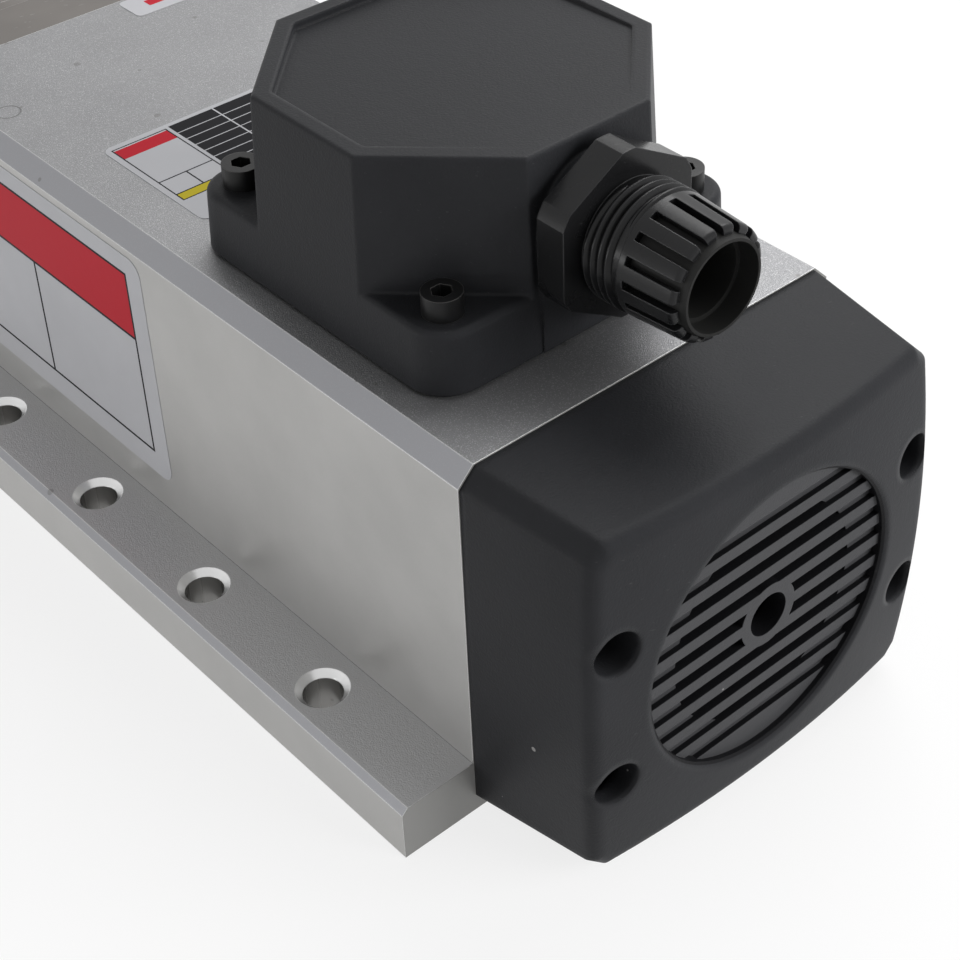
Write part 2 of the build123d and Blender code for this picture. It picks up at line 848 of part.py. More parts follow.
cover_apex_y = rear_y + cover_corner_length + cover_crown_x + cover_crown_z
crown_x_r = (body_width / 2 - cover_taper_x) ** 2 / (2 * cover_crown_x)
crown_z_r = (body_height / 2 - cover_taper_z) ** 2 / (2 * cover_crown_z)
cover_loft_y = cover_apex_y - rear_y + 1

with BuildPart() as crown:
    with BuildSketch(Plane.YZ):
        with BuildLine():
            arc = RadiusArc(
                (cover_apex_y - body_height**2 / (2 * crown_z_r), axis_z - body_height),
                (cover_apex_y - body_height**2 / (2 * crown_z_r), axis_z + body_height),
                -crown_z_r,
            )
            Polyline(
                arc @ 1,
                (rear_y - 1, axis_z + body_height),
                (rear_y - 1, axis_z - body_height),
                arc @ 0,
            )
        make_face()
    revolve(axis=Axis((0, cover_apex_y - crown_x_r, 0), (0, 0, 1)))

with BuildPart() as fan_cover:
    loft([cover_section(0, 0), cover_section(cover_loft_y, 0)])
    add(crown.part, mode=Mode.INTERSECT)
    rim = fan_cover.faces().sort_by(Axis.Y)[-1]
    fillet(rim.edges(), cover_rim_fillet)
    loft(
        [cover_section(0, cover_wall), cover_section(cover_cavity, cover_wall)],
        mode=Mode.SUBTRACT,
    )
    with BuildSketch(facing_rear(rear_y)):
        with Locations(*cover_screws):
            Circle(cover_screw_post_r)
        add(cover_section(0, 0).faces()[0], mode=Mode.INTERSECT)
    extrude(amount=cover_cavity)

grille_face_y = rear_y + grille_face


def grille_rows(count, reach_r):
    """Horizontal channels across the grille, as far as a radius and clear of the hub."""
    with BuildSketch(facing_rear(grille_face_y)) as rows:
        with GridLocations(0, grille_pitch, 1, count):
            Rectangle(2 * grille_r, grille_channel)
        Circle(reach_r, mode=Mode.INTERSECT)
        Circle(grille_hub_r, mode=Mode.SUBTRACT)
    return rows.sketch


with fan_cover:
    with BuildSketch(facing_rear(grille_face_y)):
        Circle(grille_r)
    extrude(amount=cover_corner_length, mode=Mode.SUBTRACT)
    recess = fan_cover.faces().filter_by(GeomType.CYLINDER).sort_by(Axis.Y)[-1]
    chamfer(recess.edges().sort_by(Axis.Y)[-1], grille_bevel)
    extrude(grille_rows(grille_channels, grille_r), amount=-grille_depth, mode=Mode.SUBTRACT)
    extrude(grille_rows(grille_slot_rows, grille_slot_r), amount=-cover_wall * 2, mode=Mode.SUBTRACT)
    with Locations(facing_rear(grille_face_y)):
        Hole(grille_hole_r, depth=cover_wall * 2)
    with Locations(facing_rear(rear_y + cover_screw_seat)):
        with Locations(*cover_screws):
            Hole(m5_r + fit_hole)
    with BuildSketch(facing_rear(rear_y + cover_screw_seat)):
        with Locations(*cover_screws):
            Circle(cover_screw_well_r)
    extrude(amount=cover_corner_length, mode=Mode.SUBTRACT)
saved(fan_cover, "fan_cover")

fan_cover_screws = cap_screws(
    facing_rear(rear_y + cover_screw_seat), cover_screws, m5_r, cover_screw_seat + cover_screw_bite
)
saved(fan_cover_screws, "fan_cover_screws")

# ---------------------------------------------------------------- terminal hood
hood_plane = Plane(origin=(0, hood_y, hood_base_z))
hood_foot = hood_width + 2 * hood_taper
hood_lean = degrees(atan(hood_taper / (hood_top_z - hood_base_z)))


def octagon(inset):
    """The hood's eight-sided plan: its square less the corners, drawn inwards."""
    with BuildSketch() as plan:
        Rectangle(hood_width - 2 * inset, hood_width - 2 * inset)
        chamfer(plan.vertices(), hood_cut - inset * (2 - sqrt(2)))
        fillet(plan.vertices(), hood_edge_r)
    return plan.sketch


with BuildPart() as terminal_hood:
    with BuildSketch(hood_plane):
        RectangleRounded(hood_foot, hood_foot, hood_corner_r)
    extrude(amount=ledge_z - hood_base_z, taper=hood_lean)
    fillet(terminal_hood.edges().group_by(Axis.Z)[-1], hood_ledge_fillet)
    with BuildSketch(hood_plane):
        add(octagon(-hood_taper))
    extrude(amount=hood_top_z - hood_base_z, taper=hood_lean)
    fillet(terminal_hood.edges().group_by(Axis.Z)[-1], hood_top_fillet)
    with BuildSketch(facing_rear(hood_rear_y - hood_wall, gland_z)):
        Circle(gland_pad_width / 2)
        Rectangle(gland_pad_width, gland_z - hood_base_z, align=(Align.CENTER, Align.MAX))
    extrude(amount=hood_wall + gland_pad_t)
    with BuildSketch(hood_plane):
        add(octagon(hood_wall))
    extrude(amount=hood_top_z - hood_base_z - hood_wall - hood_panel_dip, mode=Mode.SUBTRACT)
    panel_span = hood_width - 2 * hood_rim
    panel_tilt = hood_panel_dip / panel_span
    panel_plane = Plane(
        origin=(0, hood_y, hood_top_z - hood_panel_dip / 2),
        x_dir=(1, 0, 0),
        z_dir=(0, -panel_tilt, 1),
    )
    with BuildSketch(panel_plane):
        add(octagon(hood_rim))
    extrude(amount=2 * hood_panel_dip, mode=Mode.SUBTRACT)
    with Locations(Plane.XY.offset(ledge_z)):
        with Locations((0, hood_y)):
            with GridLocations(hood_screw_spacing, hood_screw_spacing, 2, 2):
                Hole(m5_r + fit_hole)
    with Locations(facing_rear(pad_y, gland_z)):
        Hole(gland_thread_r + thread_gap, depth=4 * hood_wall)
saved(terminal_hood, "terminal_hood")

with BuildPart() as terminal_gasket:
    with BuildSketch(Plane(origin=(0, hood_y, body_height))):
        RectangleRounded(
            hood_foot - 2 * gasket_inset, hood_foot - 2 * gasket_inset, hood_corner_r - gasket_inset
        )
        add(octagon(hood_wall), mode=Mode.SUBTRACT)
        with GridLocations(hood_screw_spacing, hood_screw_spacing, 2, 2):
            Circle(m5_r + fit_hole, mode=Mode.SUBTRACT)
    extrude(amount=gasket_t)
saved(terminal_gasket, "terminal_gasket")

hood_seat = Plane(origin=(0, hood_y, ledge_z))
terminal_hood_screws = cap_screws(hood_seat, hood_screws, m5_r, hood_ledge + hood_screw_bite)
saved(terminal_hood_screws, "terminal_hood_screws")

# ---------------------------------------------------------------- terminal board
board_z = body_height + board_feet
stud_points = [(stud_pitch * (n - (stud_count - 1) / 2), lead_y) for n in range(stud_count)]

with BuildPart() as terminal_board:
    with BuildSketch(Plane.XY.offset(board_z)):
        with Locations((0, lead_y)):
            Rectangle(board_length, board_width)
    extrude(amount=board_t)
    with BuildSketch(Plane.XY.offset(body_height)):
        with Locations((0, lead_y)):
            with GridLocations(board_length - board_foot_length, 0, 2, 1):
                Rectangle(board_foot_length, board_width)
    extrude(amount=board_feet)
    with Locations(Plane.XY.offset(board_z + board_t)):
        with Locations(*stud_points):
            Hole(m4_r, depth=board_t)
saved(terminal_board, "terminal_board")

with BuildPart() as terminal_studs:
    with BuildSketch(Plane.XY.offset(board_z)):
        with Locations(*stud_points):
            Circle(m4_r)
    extrude(amount=board_t + stud_height)
    with BuildSketch(Plane.XY.offset(board_z + board_t)):
        with Locations(*stud_points):
            RegularPolygon(terminal_nut_flats / 2, 6, major_radius=False)
    extrude(amount=terminal_nut_t)
saved(terminal_studs, "terminal_studs")

with BuildPart() as motor_leads:
    for x, y in stud_points:
        ring_top = axis_z + sqrt(winding_outer_r**2 - max(abs(x) - lead_r, 0) ** 2)
        with BuildSketch(Plane(origin=(x, y, ring_top + seat_gap))):
            Circle(lead_r)
        extrude(amount=board_z - ring_top - seat_gap)
saved(motor_leads, "motor_leads")

with BuildPart() as lead_grommet:
    lip_plane = Plane(origin=(0, lead_y, body_height))
    with BuildSketch(lip_plane):
        SlotOverall(lead_slot_length, lead_slot_width)
    extrude(amount=-(body_height / 2 - stator_bore_r))
    with BuildSketch(lip_plane):
        SlotOverall(lead_slot_length + 2 * grommet_lip, lead_slot_width + 2 * grommet_lip)
    extrude(amount=grommet_lip_t)
    with Locations(lip_plane.offset(grommet_lip_t)):
        with GridLocations(stud_pitch, 0, stud_count, 1):
            Hole(lead_r + fit_gap)
saved(lead_grommet, "lead_grommet")

earth_screw = cap_screws(
    Plane.XY.offset(body_height), [(earth_screw_x, earth_screw_y)], m4_r, earth_screw_bite
)
saved(earth_screw, "earth_screw")

# ---------------------------------------------------------------- cable gland
with BuildPart() as gland_body:
    with BuildSketch(facing_rear(gland_hex_y, gland_z)):
        RegularPolygon(gland_flats / 2, 6, major_radius=False, rotation=30)
        Circle(gland_corner_r, mode=Mode.INTERSECT)
    extrude(amount=gland_hex_w)
    with BuildSketch(facing_rear(gland_thread_y, gland_z)):
        Circle(gland_thread_r - gland_thread_depth)
    extrude(amount=gland_thread_length)
    with BuildSketch(facing_front(gland_hex_y, gland_z)):
        Circle(gland_thread_r)
    extrude(amount=gland_tail_length)
    with Locations(facing_rear(gland_mouth_y, gland_z)):
        CounterBoreHole(gland_bore_r, gland_claw_seat_r, gland_claw_seat)
saved(gland_body, "gland_body")

with BuildPart() as gland_washer:
    with BuildSketch(facing_rear(pad_y, gland_z)):
        Circle(gland_washer_r)
        Circle(gland_thread_r + fit_gap, mode=Mode.SUBTRACT)
    extrude(amount=gland_washer_t)
saved(gland_washer, "gland_washer")

claw_root_y = gland_mouth_y - gland_claw_seat

with BuildPart() as gland_claw:
    revolve(
        turned(
            [
                (claw_root_y, gland_claw_seat_r - fit_gap),
                (gland_mouth_y, gland_claw_seat_r - fit_gap),
                (gland_mouth_y, gland_claw_base_r),
                (claw_tip_y, gland_claw_tip_r),
                (claw_tip_y, gland_claw_tip_r - gland_claw_t),
                (gland_mouth_y, gland_claw_base_r - gland_claw_t),
                (gland_mouth_y, gland_bore_r),
                (claw_root_y, gland_bore_r),
            ],
            gland_z,
        ),
        axis=gland_axis,
    )
    tip_edges = gland_claw.edges().group_by(Axis.Y)[-1]
    fillet(tip_edges.sort_by(SortBy.RADIUS)[-1], gland_finger_round)
    with Locations(facing_rear(gland_mouth_y + gland_finger_base, gland_z)):
        with PolarLocations(gland_claw_base_r, gland_fingers):
            Box(
                4 * gland_claw_t,
                gland_finger_gap,
                gland_claw_reach,
                align=(Align.CENTER, Align.CENTER, Align.MIN),
                mode=Mode.SUBTRACT,
            )
saved(gland_claw, "gland_claw")

with BuildPart() as gland_seal:
    seal_out_base_r = gland_claw_base_r - gland_claw_t - fit_gap
    seal_out_tip_r = gland_claw_tip_r - gland_claw_t - fit_gap
    revolve(
        turned(
            [
                (gland_mouth_y, seal_out_base_r),
                (claw_tip_y, seal_out_tip_r),
                (claw_tip_y, gland_seal_lip_r),
                (claw_tip_y + gland_seal_lip, gland_seal_lip_r - gland_seal_lip_bevel),
                (claw_tip_y + gland_seal_lip, gland_seal_mouth_r),
                (claw_tip_y - gland_seal_step, gland_seal_mouth_r),
                (claw_tip_y - gland_seal_step, gland_seal_bore_r),
                (gland_mouth_y, gland_seal_bore_r),
            ],
            gland_z,
        ),
        axis=gland_axis,
    )
saved(gland_seal, "gland_seal")
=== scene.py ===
# %% [markdown]
# # Dressing a motor spindle
# The spindle's solids come finished and in place, so this lesson is about looks alone: a camera, plain
# studio light, finishes for every solid, and the few thin things that solids leave out, such as a moulded
# screw thread and printed stickers. Lengths are in metres, in the spindle's own frame: +Y runs from the
# collet nose to the fan cover, +Z is up, and the feet stand on z = 0.

import json
import math

import bmesh
import bpy
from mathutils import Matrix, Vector


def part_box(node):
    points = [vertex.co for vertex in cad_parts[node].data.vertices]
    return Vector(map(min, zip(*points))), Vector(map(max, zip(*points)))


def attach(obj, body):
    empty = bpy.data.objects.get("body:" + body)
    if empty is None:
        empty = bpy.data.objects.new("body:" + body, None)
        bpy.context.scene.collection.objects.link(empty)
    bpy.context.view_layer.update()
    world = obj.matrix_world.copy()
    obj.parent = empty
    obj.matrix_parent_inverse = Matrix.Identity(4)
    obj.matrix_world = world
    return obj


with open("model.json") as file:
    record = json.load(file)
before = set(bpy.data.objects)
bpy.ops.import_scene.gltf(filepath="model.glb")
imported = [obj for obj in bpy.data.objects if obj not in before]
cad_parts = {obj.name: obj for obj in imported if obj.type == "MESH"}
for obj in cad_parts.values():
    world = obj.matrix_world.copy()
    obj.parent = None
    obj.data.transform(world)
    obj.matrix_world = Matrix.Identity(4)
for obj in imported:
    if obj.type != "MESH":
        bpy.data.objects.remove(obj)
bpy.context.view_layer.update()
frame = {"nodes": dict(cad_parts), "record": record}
nodes = frame["nodes"]
MM = 0.001

# %% [markdown]
# Most finishes and pieces need a few places of the spindle. Where a solid's box gives one, it is read from
# there, so a piece still fits when the solid changes. Places that no box shows, such as the pitch of the foot
# holes or the radius of the grille, are values.

# %% Places on the spindle
body_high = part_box("motor_housing")[1]
gland_low, gland_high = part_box("gland_body")
cover_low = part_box("fan_cover")[0]
nose_low, nose_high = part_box("front_cap")
spindle_z = (nose_low.z + nose_high.z) / 2
gland_z = (gland_low.z + gland_high.z) / 2
body_half_width = 51.5 * MM
foot_hole_x = body_half_width + 9.5 * MM
foot_hole_pitch = 45 * MM
foot_height = 14 * MM
foot_countersink_radius = 6.15 * MM
plug_x, plug_y = 41.7 * MM, -71.6 * MM
plug_radius = 3.0 * MM
corner_reach = 0.9 * MM
grille_radius = 34.5 * MM
print("spindle axis z:", round(spindle_z / MM, 2), "gland axis z:", round(gland_z / MM, 2))

# %% [markdown]
# ## Camera
# The camera stands behind and above the fan cover, close enough for strong perspective. Its focal length is
# given in pixels of a picture 960 pixels wide, and turned into millimetres of a 36 mm sensor. Its centre line
# doesn't pass through the middle of the frame, and the lens shift says how far off it is.

# %% Camera
camera_place = Vector((232.22, 336.53, 332.29)) * MM
camera_turn = [math.radians(a) for a in (53.5195, 0.6853, 137.3513)]
picture_width = 960.0
lens_pixels = 2040.8
centre_x, centre_y = 565.16, 365.45

camera_data = bpy.data.cameras.new("camera")
camera_data.sensor_width = 36.0
camera_data.lens = lens_pixels / picture_width * camera_data.sensor_width
camera_data.shift_x = 0.5 - centre_x / picture_width
camera_data.shift_y = centre_y / picture_width - 0.5
camera_data.clip_start = 0.02
camera_data.clip_end = 20.0
camera = bpy.data.objects.new("camera", camera_data)
camera.location = camera_place
camera.rotation_euler = camera_turn
bpy.context.scene.collection.objects.link(camera)
bpy.context.scene.camera = camera
bpy.context.scene.view_settings.view_transform = "Standard"
print("lens in mm:", round(camera_data.lens, 1))
print("shift:", round(camera_data.shift_x, 3), round(camera_data.shift_y, 3))

# %% [markdown]
# ## Writing node trees
# A finish is a tree of small nodes. They could be placed by hand in the shader editor, but a script that
# writes them can be read, and gives the same tree each time. One helper adds any node, one feeds a socket
# from a value or from another socket, and one adds a Math node.


# %% Node helpers
def put(tree, kind, settings=None, **sockets):
    """Adds a node; each keyword names a socket, with _ for a space, and gives a value or a socket."""
    made = tree.nodes.new(kind)
    for name, value in (settings or {}).items():
        setattr(made, name, value)
    for name, value in sockets.items():
        feed(tree, made.inputs[name.replace("_", " ")], value)
    return made


def feed(tree, socket, value):
    """Links a socket to another one, or sets its value."""
    if isinstance(value, bpy.types.NodeSocket):
        tree.links.new(value, socket)
    else:
        socket.default_value = value


def calc(tree, operation, *values):
    """A Math node's result."""
    made = put(tree, "ShaderNodeMath", {"operation": operation})
    for socket, value in zip(made.inputs, values):
        feed(tree, socket, value)
    return made.outputs[0]


print("node helpers ready")

# %% [markdown]
# A mask is a number from 0 to 1 that says where something shows. A value mapped to that range makes one, and
# a mix of two colours uses it.


# %% Range and colour helpers
def ramp(tree, value, low, high, to_low=0.0, to_high=1.0):
    """Maps a value from low..high to another range, and stays inside it."""
    made = put(tree, "ShaderNodeMapRange", Value=value)
    for name, number in (("From Min", low), ("From Max", high), ("To Min", to_low), ("To Max", to_high)):
        made.inputs[name].default_value = number
    return made.outputs["Result"]


def blend(tree, factor, first, second):
    """A mix of two colours."""
    made = put(tree, "ShaderNodeMix", {"data_type": "RGBA"})
    feed(tree, made.inputs["Factor"], factor)
    for socket, colour in ((made.inputs[6], first), (made.inputs[7], second)):
        feed(tree, socket, colour if isinstance(colour, bpy.types.NodeSocket) else (*colour, 1.0))
    return made.outputs[2]


print("range and colour helpers ready")

# %% [markdown]
# Masks come from where a point lies and where its face looks, so no mesh has to be unwrapped. Relief comes
# from a height, which tilts the normal and leaves the mesh as it is.


# %% Place and relief helpers
def place(tree):
    """The point being shaded, in the spindle's frame."""
    return put(tree, "ShaderNodeTexCoord").outputs["Object"]


def axes(tree, vector):
    """A vector's three numbers."""
    return put(tree, "ShaderNodeSeparateXYZ", Vector=vector).outputs


def distance(tree, first, second):
    """The length of a line whose two legs are given."""
    squares = [calc(tree, "POWER", leg, 2.0) for leg in (first, second)]
    return calc(tree, "SQRT", calc(tree, "ADD", *squares))


def true_normal(tree):
    """The flat normal of the face being shaded, as three numbers."""
    return axes(tree, put(tree, "ShaderNodeNewGeometry").outputs["True Normal"])


def bump(tree, height, depth, normal=None):
    """A surface normal that follows a height map; depth is in metres."""
    made = put(tree, "ShaderNodeBump", Height=height, Distance=depth, Strength=1.0)
    if normal is not None:
        feed(tree, made.inputs["Normal"], normal)
    return made.outputs["Normal"]


print("place and relief helpers ready")

# %% [markdown]
# ## Effects that several finishes share
# An effect is a node group with named inputs and outputs: it is built once, and each finish places it with
# values of its own. A group gives masks, heights and normals only. The shader stays in the finish.


# %% Group helpers
def effect(name, inputs, outputs):
    """A new node group with number inputs {name: value} and outputs {name: kind}."""
    group = bpy.data.node_groups.new(name, "ShaderNodeTree")
    for label, value in inputs.items():
        made = group.interface.new_socket(name=label, in_out="INPUT", socket_type="NodeSocketFloat")
        made.default_value = value
    for label, kind in outputs.items():
        group.interface.new_socket(name=label, in_out="OUTPUT", socket_type=kind)
    return group, group.nodes.new("NodeGroupInput").outputs, group.nodes.new("NodeGroupOutput").inputs


def use(tree, group, **values):
    """Places a group in a finish and returns its outputs."""
    made = put(tree, "ShaderNodeGroup", {"node_tree": group})
    for name, value in values.items():
        feed(tree, made.inputs[name.replace("_", " ")], value)
    return made.outputs


VALUE = "NodeSocketFloat"
NORMAL = "NodeSocketVector"
print("group helpers ready")

# %% [markdown]
# ** Soft edges.** Cut and moulded edges are never knife sharp, and the sliver of light along them tells the
# eye so. The Bevel node rounds the normal near an edge, which costs no faces. How far the rounded normal
# leaves the surface's own also gives a mask of the edges, for wear and for painted edge highlights.

# %% Soft edges
soft_edges, given, out = effect("soft_edges", {"Radius": 0.0003}, {"Normal": NORMAL, "Edge": VALUE})
rounded = put(soft_edges, "ShaderNodeBevel", {"samples": 6}, Radius=given["Radius"]).outputs["Normal"]
smooth_normal = put(soft_edges, "ShaderNodeNewGeometry").outputs["Normal"]
alike = put(soft_edges, "ShaderNodeVectorMath", {"operation": "DOT_PRODUCT"})
feed(soft_edges, alike.inputs[0], rounded)
feed(soft_edges, alike.inputs[1], smooth_normal)
feed(soft_edges, out["Normal"], rounded)
feed(soft_edges, out["Edge"], ramp(soft_edges, alike.outputs["Value"], 0.995, 0.9))
print("group:", soft_edges.name)

# %% [markdown]
# **Grain.** Bead blasting and a spark-eroded mould both leave a fine, even pitting. One noise gives its
# height. A coarser noise, laid under it, keeps it from looking printed. A third and broad one gives patches,
# for slow changes of colour and gloss.

# %% Grain
grain, given, out = effect("grain", {"Scale": 2500.0, "Coarse": 0.35}, {"Height": VALUE, "Patches": VALUE})
fine = put(grain, "ShaderNodeTexNoise", Vector=place(grain), Scale=given["Scale"], Detail=2.0, Roughness=0.6)
wide_scale = calc(grain, "MULTIPLY", given["Scale"], 0.22)
wide = put(grain, "ShaderNodeTexNoise", Vector=place(grain), Scale=wide_scale, Detail=2.0)
pitted = calc(grain, "MULTIPLY_ADD", wide.outputs["Fac"], given["Coarse"], fine.outputs["Fac"])
feed(grain, out["Height"], pitted)
cloud = put(grain, "ShaderNodeTexNoise", Vector=place(grain), Scale=38.0, Detail=5.0, Roughness=0.55)
feed(grain, out["Patches"], ramp(grain, cloud.outputs["Fac"], 0.32, 0.68))
print("group:", grain.name)

# %% [markdown]
# **Specks.** Small things that lie on a surface, such as dust, or that shine in it, such as a facet of
# blasted metal, are random cells of a Voronoi texture: a cell shows if its random number is low enough, as a
# dot around the cell's centre.

# %% Specks
specks, given, out = effect("specks", {"Scale": 300.0, "Share": 0.05, "Size": 0.25}, {"Mask": VALUE})
cells = put(specks, "ShaderNodeTexVoronoi", Vector=place(specks), Scale=given["Scale"])
draw = axes(specks, cells.outputs["Color"])
chosen = calc(specks, "LESS_THAN", draw[0], given["Share"])
size = calc(specks, "MULTIPLY", given["Size"], calc(specks, "ADD", draw[1], 0.4))
near = calc(specks, "LESS_THAN", cells.outputs["Distance"], size)
feed(specks, out["Mask"], calc(specks, "MULTIPLY", chosen, near))
print("group:", specks.name)

# %% [markdown]
# **Scratches.** Handling leaves thin lines that run mostly one way. A noise that is squeezed in two
# directions, and hardly in the third, gives streaks along it, and only its highest ridges are kept.

# %% Scratches
turn_axis, squeeze, ridge_limit = (1.0, 0.4, 0.7), (60.0, 2200.0, 2200.0), 0.86
scratches, given, out = effect("scratches", {"Turn": 0.0, "Share": 0.1}, {"Mask": VALUE})
turned_place = put(scratches, "ShaderNodeVectorRotate", {"rotation_type": "AXIS_ANGLE"})
feed(scratches, turned_place.inputs["Vector"], place(scratches))
feed(scratches, turned_place.inputs["Angle"], given["Turn"])
turned_place.inputs["Axis"].default_value = turn_axis
squeezed = put(scratches, "ShaderNodeMapping", Vector=turned_place.outputs["Vector"])
squeezed.inputs["Scale"].default_value = squeeze
streaks = put(scratches, "ShaderNodeTexNoise", Vector=squeezed.outputs["Vector"], Scale=1.0, Detail=1.0)
where = put(scratches, "ShaderNodeTexNoise", Vector=place(scratches), Scale=55.0, Detail=2.0)
here = calc(scratches, "MULTIPLY", given["Share"], where.outputs["Fac"])
kept = calc(scratches, "SUBTRACT", ridge_limit, here)
feed(scratches, out["Mask"], calc(scratches, "GREATER_THAN", streaks.outputs["Fac"], kept))
print("group:", scratches.name)

# %% [markdown]
# **Turning marks.** A lathe leaves rings around the axis and fine steps along it. The distance from the
# spindle's axis and the place along it, sent through a noise of one dimension, give both.

# %% Turning marks
turning, given, out = effect("turning_marks", {"Scale": 4000.0}, {"Height": VALUE})
x, y, z = axes(turning, place(turning))
up = calc(turning, "SUBTRACT", z, spindle_z)
along = calc(turning, "ADD", distance(turning, x, up), y)
rings = put(turning, "ShaderNodeTexNoise", {"noise_dimensions": "1D"}, Scale=given["Scale"], Detail=3.0)
feed(turning, rings.inputs["W"], along)
feed(turning, out["Height"], rings.outputs["Fac"])
print("group:", turning.name)

# %% [markdown]
# ## Finishes
# Each finish is a material with one Principled shader. Numbers that hold for the whole surface are set on
# the shader's sockets, and only what changes over the surface comes through nodes.


# %% Finish helper
def finish_of(name, **fixed):
    """A new material: its node tree and its Principled shader, with fixed sockets set."""
    made = bpy.data.materials.new(name)
    made.use_nodes = True
    tree = made.node_tree
    shader = tree.nodes["Principled BSDF"]
    for label, value in fixed.items():
        shader.inputs[label.replace("_", " ")].default_value = value
    return made, tree, shader.inputs


finishes = {}
print("finish helper ready")

# %% [markdown]
# ** Body aluminium.** The extrusion is sawn, bead-blasted and clear anodised. The blasted top sparkles with
# painted glints, the sides are smoother, and the chamfers are a tone darker than the sides. The countersinks
# were cut after blasting, so they are bright and show rings. A mask for each zone tells them apart, and this
# first cell makes the masks. A face counts as facing one way when its normal's share of that way is high
# enough. The foot holes stand in rows with one pitch, so y is wrapped at that pitch: all holes fall onto one,
# and a single distance finds their countersinks.

# %% Masks of the body
body, tree, shader = finish_of("body_aluminium", Metallic=0.62)
x, y, z = axes(tree, place(tree))
ny, nz = true_normal(tree)[1:]
edges = use(tree, soft_edges, Radius=0.4 * MM)
pits = use(tree, grain, Scale=3400.0, Coarse=0.3)
glint_facets = use(tree, specks, Scale=4800.0, Share=0.3, Size=0.5)
facing = (0.9, 0.97)
facing_up = ramp(tree, nz, *facing)
slanted = calc(tree, "MULTIPLY", ramp(tree, nz, 0.4, 0.6), ramp(tree, nz, 0.9, 0.8))
sawn = ramp(tree, calc(tree, "ABSOLUTE", ny), *facing)

row_place = calc(tree, "ABSOLUTE", calc(tree, "WRAP", y, foot_hole_pitch, 0.0))
from_hole_y = calc(tree, "SUBTRACT", row_place, foot_hole_pitch / 2)
from_hole_x = calc(tree, "SUBTRACT", calc(tree, "ABSOLUTE", x), foot_hole_x)
from_hole = distance(tree, from_hole_x, from_hole_y)
in_hole = calc(tree, "LESS_THAN", from_hole, foot_countersink_radius)
below_foot = calc(tree, "LESS_THAN", z, foot_height + 0.2 * MM)
in_row = calc(tree, "LESS_THAN", calc(tree, "ABSOLUTE", y), 2 * foot_hole_pitch)
bored_span = calc(tree, "MULTIPLY", below_foot, in_row)
bored = calc(tree, "MULTIPLY", in_hole, calc(tree, "MULTIPLY", bored_span, calc(tree, "LESS_THAN", nz, 0.95)))
cone = ramp(tree, nz, 0.2, 0.5)

low_face = calc(tree, "MULTIPLY", facing_up, below_foot)
sparkling = calc(tree, "SUBTRACT", facing_up, low_face)
near_wall = calc(tree, "LESS_THAN", calc(tree, "ABSOLUTE", x), body_half_width + corner_reach)
inner_corner = calc(tree, "MULTIPLY", near_wall, calc(tree, "LESS_THAN", z, foot_height + corner_reach))

from_plug_x = calc(tree, "SUBTRACT", x, plug_x)
from_plug_y = calc(tree, "SUBTRACT", y, plug_y)
from_plug = distance(tree, from_plug_x, from_plug_y)
off_ring = calc(tree, "ABSOLUTE", calc(tree, "SUBTRACT", from_plug, plug_radius))
plug_ring = calc(tree, "MULTIPLY", facing_up, ramp(tree, off_ring, 0.12 * MM, 0.3 * MM, 1.0, 0.0))
print("countersinks every", foot_hole_pitch / MM, "mm, masks ready")

# %% [markdown]
# The colour is a stack: the zones first, then sparkle as a painted glint, edges as a painted highlight,
# the sawn ends, the plug's ring, the countersinks with painted shade on their bores, and last a few nicks
# from handling. The inner corner between side and foot gets painted shade on its edge instead of the
# painted highlight of the outer edges.

# %% Colour of the body
top_dark, top_light = (0.222, 0.223, 0.229), (0.246, 0.247, 0.253)
side_dark, side_light = (0.395, 0.391, 0.382), (0.440, 0.436, 0.426)
foot_top, chamfer_grey = (0.42, 0.42, 0.425), (0.283, 0.285, 0.300)
painted_highlight_grey, painted_corner_shade = (0.75, 0.75, 0.75), (0.10, 0.10, 0.10)
end_grey, ring_grey, nick_grey = (0.30, 0.298, 0.29), (0.07, 0.07, 0.07), (0.12, 0.115, 0.11)
painted_bore_shade, cone_grey = (0.30, 0.295, 0.285), (0.80, 0.80, 0.80)

blasted = blend(tree, pits["Patches"], top_dark, top_light)
blasted = blend(tree, low_face, blasted, foot_top)
side = blend(tree, pits["Patches"], side_dark, side_light)
colour = blend(tree, facing_up, side, blasted)
colour = blend(tree, slanted, colour, chamfer_grey)
# The top's sparkle is painted: facet specks are mixed toward pale grey as glints.
shine = calc(tree, "MULTIPLY", glint_facets["Mask"], calc(tree, "MULTIPLY_ADD", sparkling, 0.22, 0.03))
colour = blend(tree, shine, colour, painted_highlight_grey)
# Outer edges get a painted highlight, and the inner corner between side and foot a painted shade.
colour = blend(tree, edges["Edge"], colour, blend(tree, inner_corner, painted_highlight_grey, painted_corner_shade))
colour = blend(tree, sawn, colour, end_grey)
colour = blend(tree, calc(tree, "MULTIPLY", plug_ring, 0.7), colour, ring_grey)
# The bore walls inside the foot holes get a painted shade; the cones are bright cut metal.
colour = blend(tree, bored, colour, blend(tree, cone, painted_bore_shade, cone_grey))
nicks = use(tree, specks, Scale=420.0, Share=0.012, Size=0.28)
colour = blend(tree, calc(tree, "MULTIPLY", nicks["Mask"], 0.5), colour, nick_grey)
feed(tree, shader["Base Color"], colour)
print("colour linked:", shader["Base Color"].is_linked)

# %% [markdown]
# The relief is one height: rings in the countersinks, pits everywhere else, and saw marks on the ends, each
# under its mask. Real pits would cost millions of faces, and a bump gives the same glitter. The countersinks
# are a little glossier and the sawn ends duller.

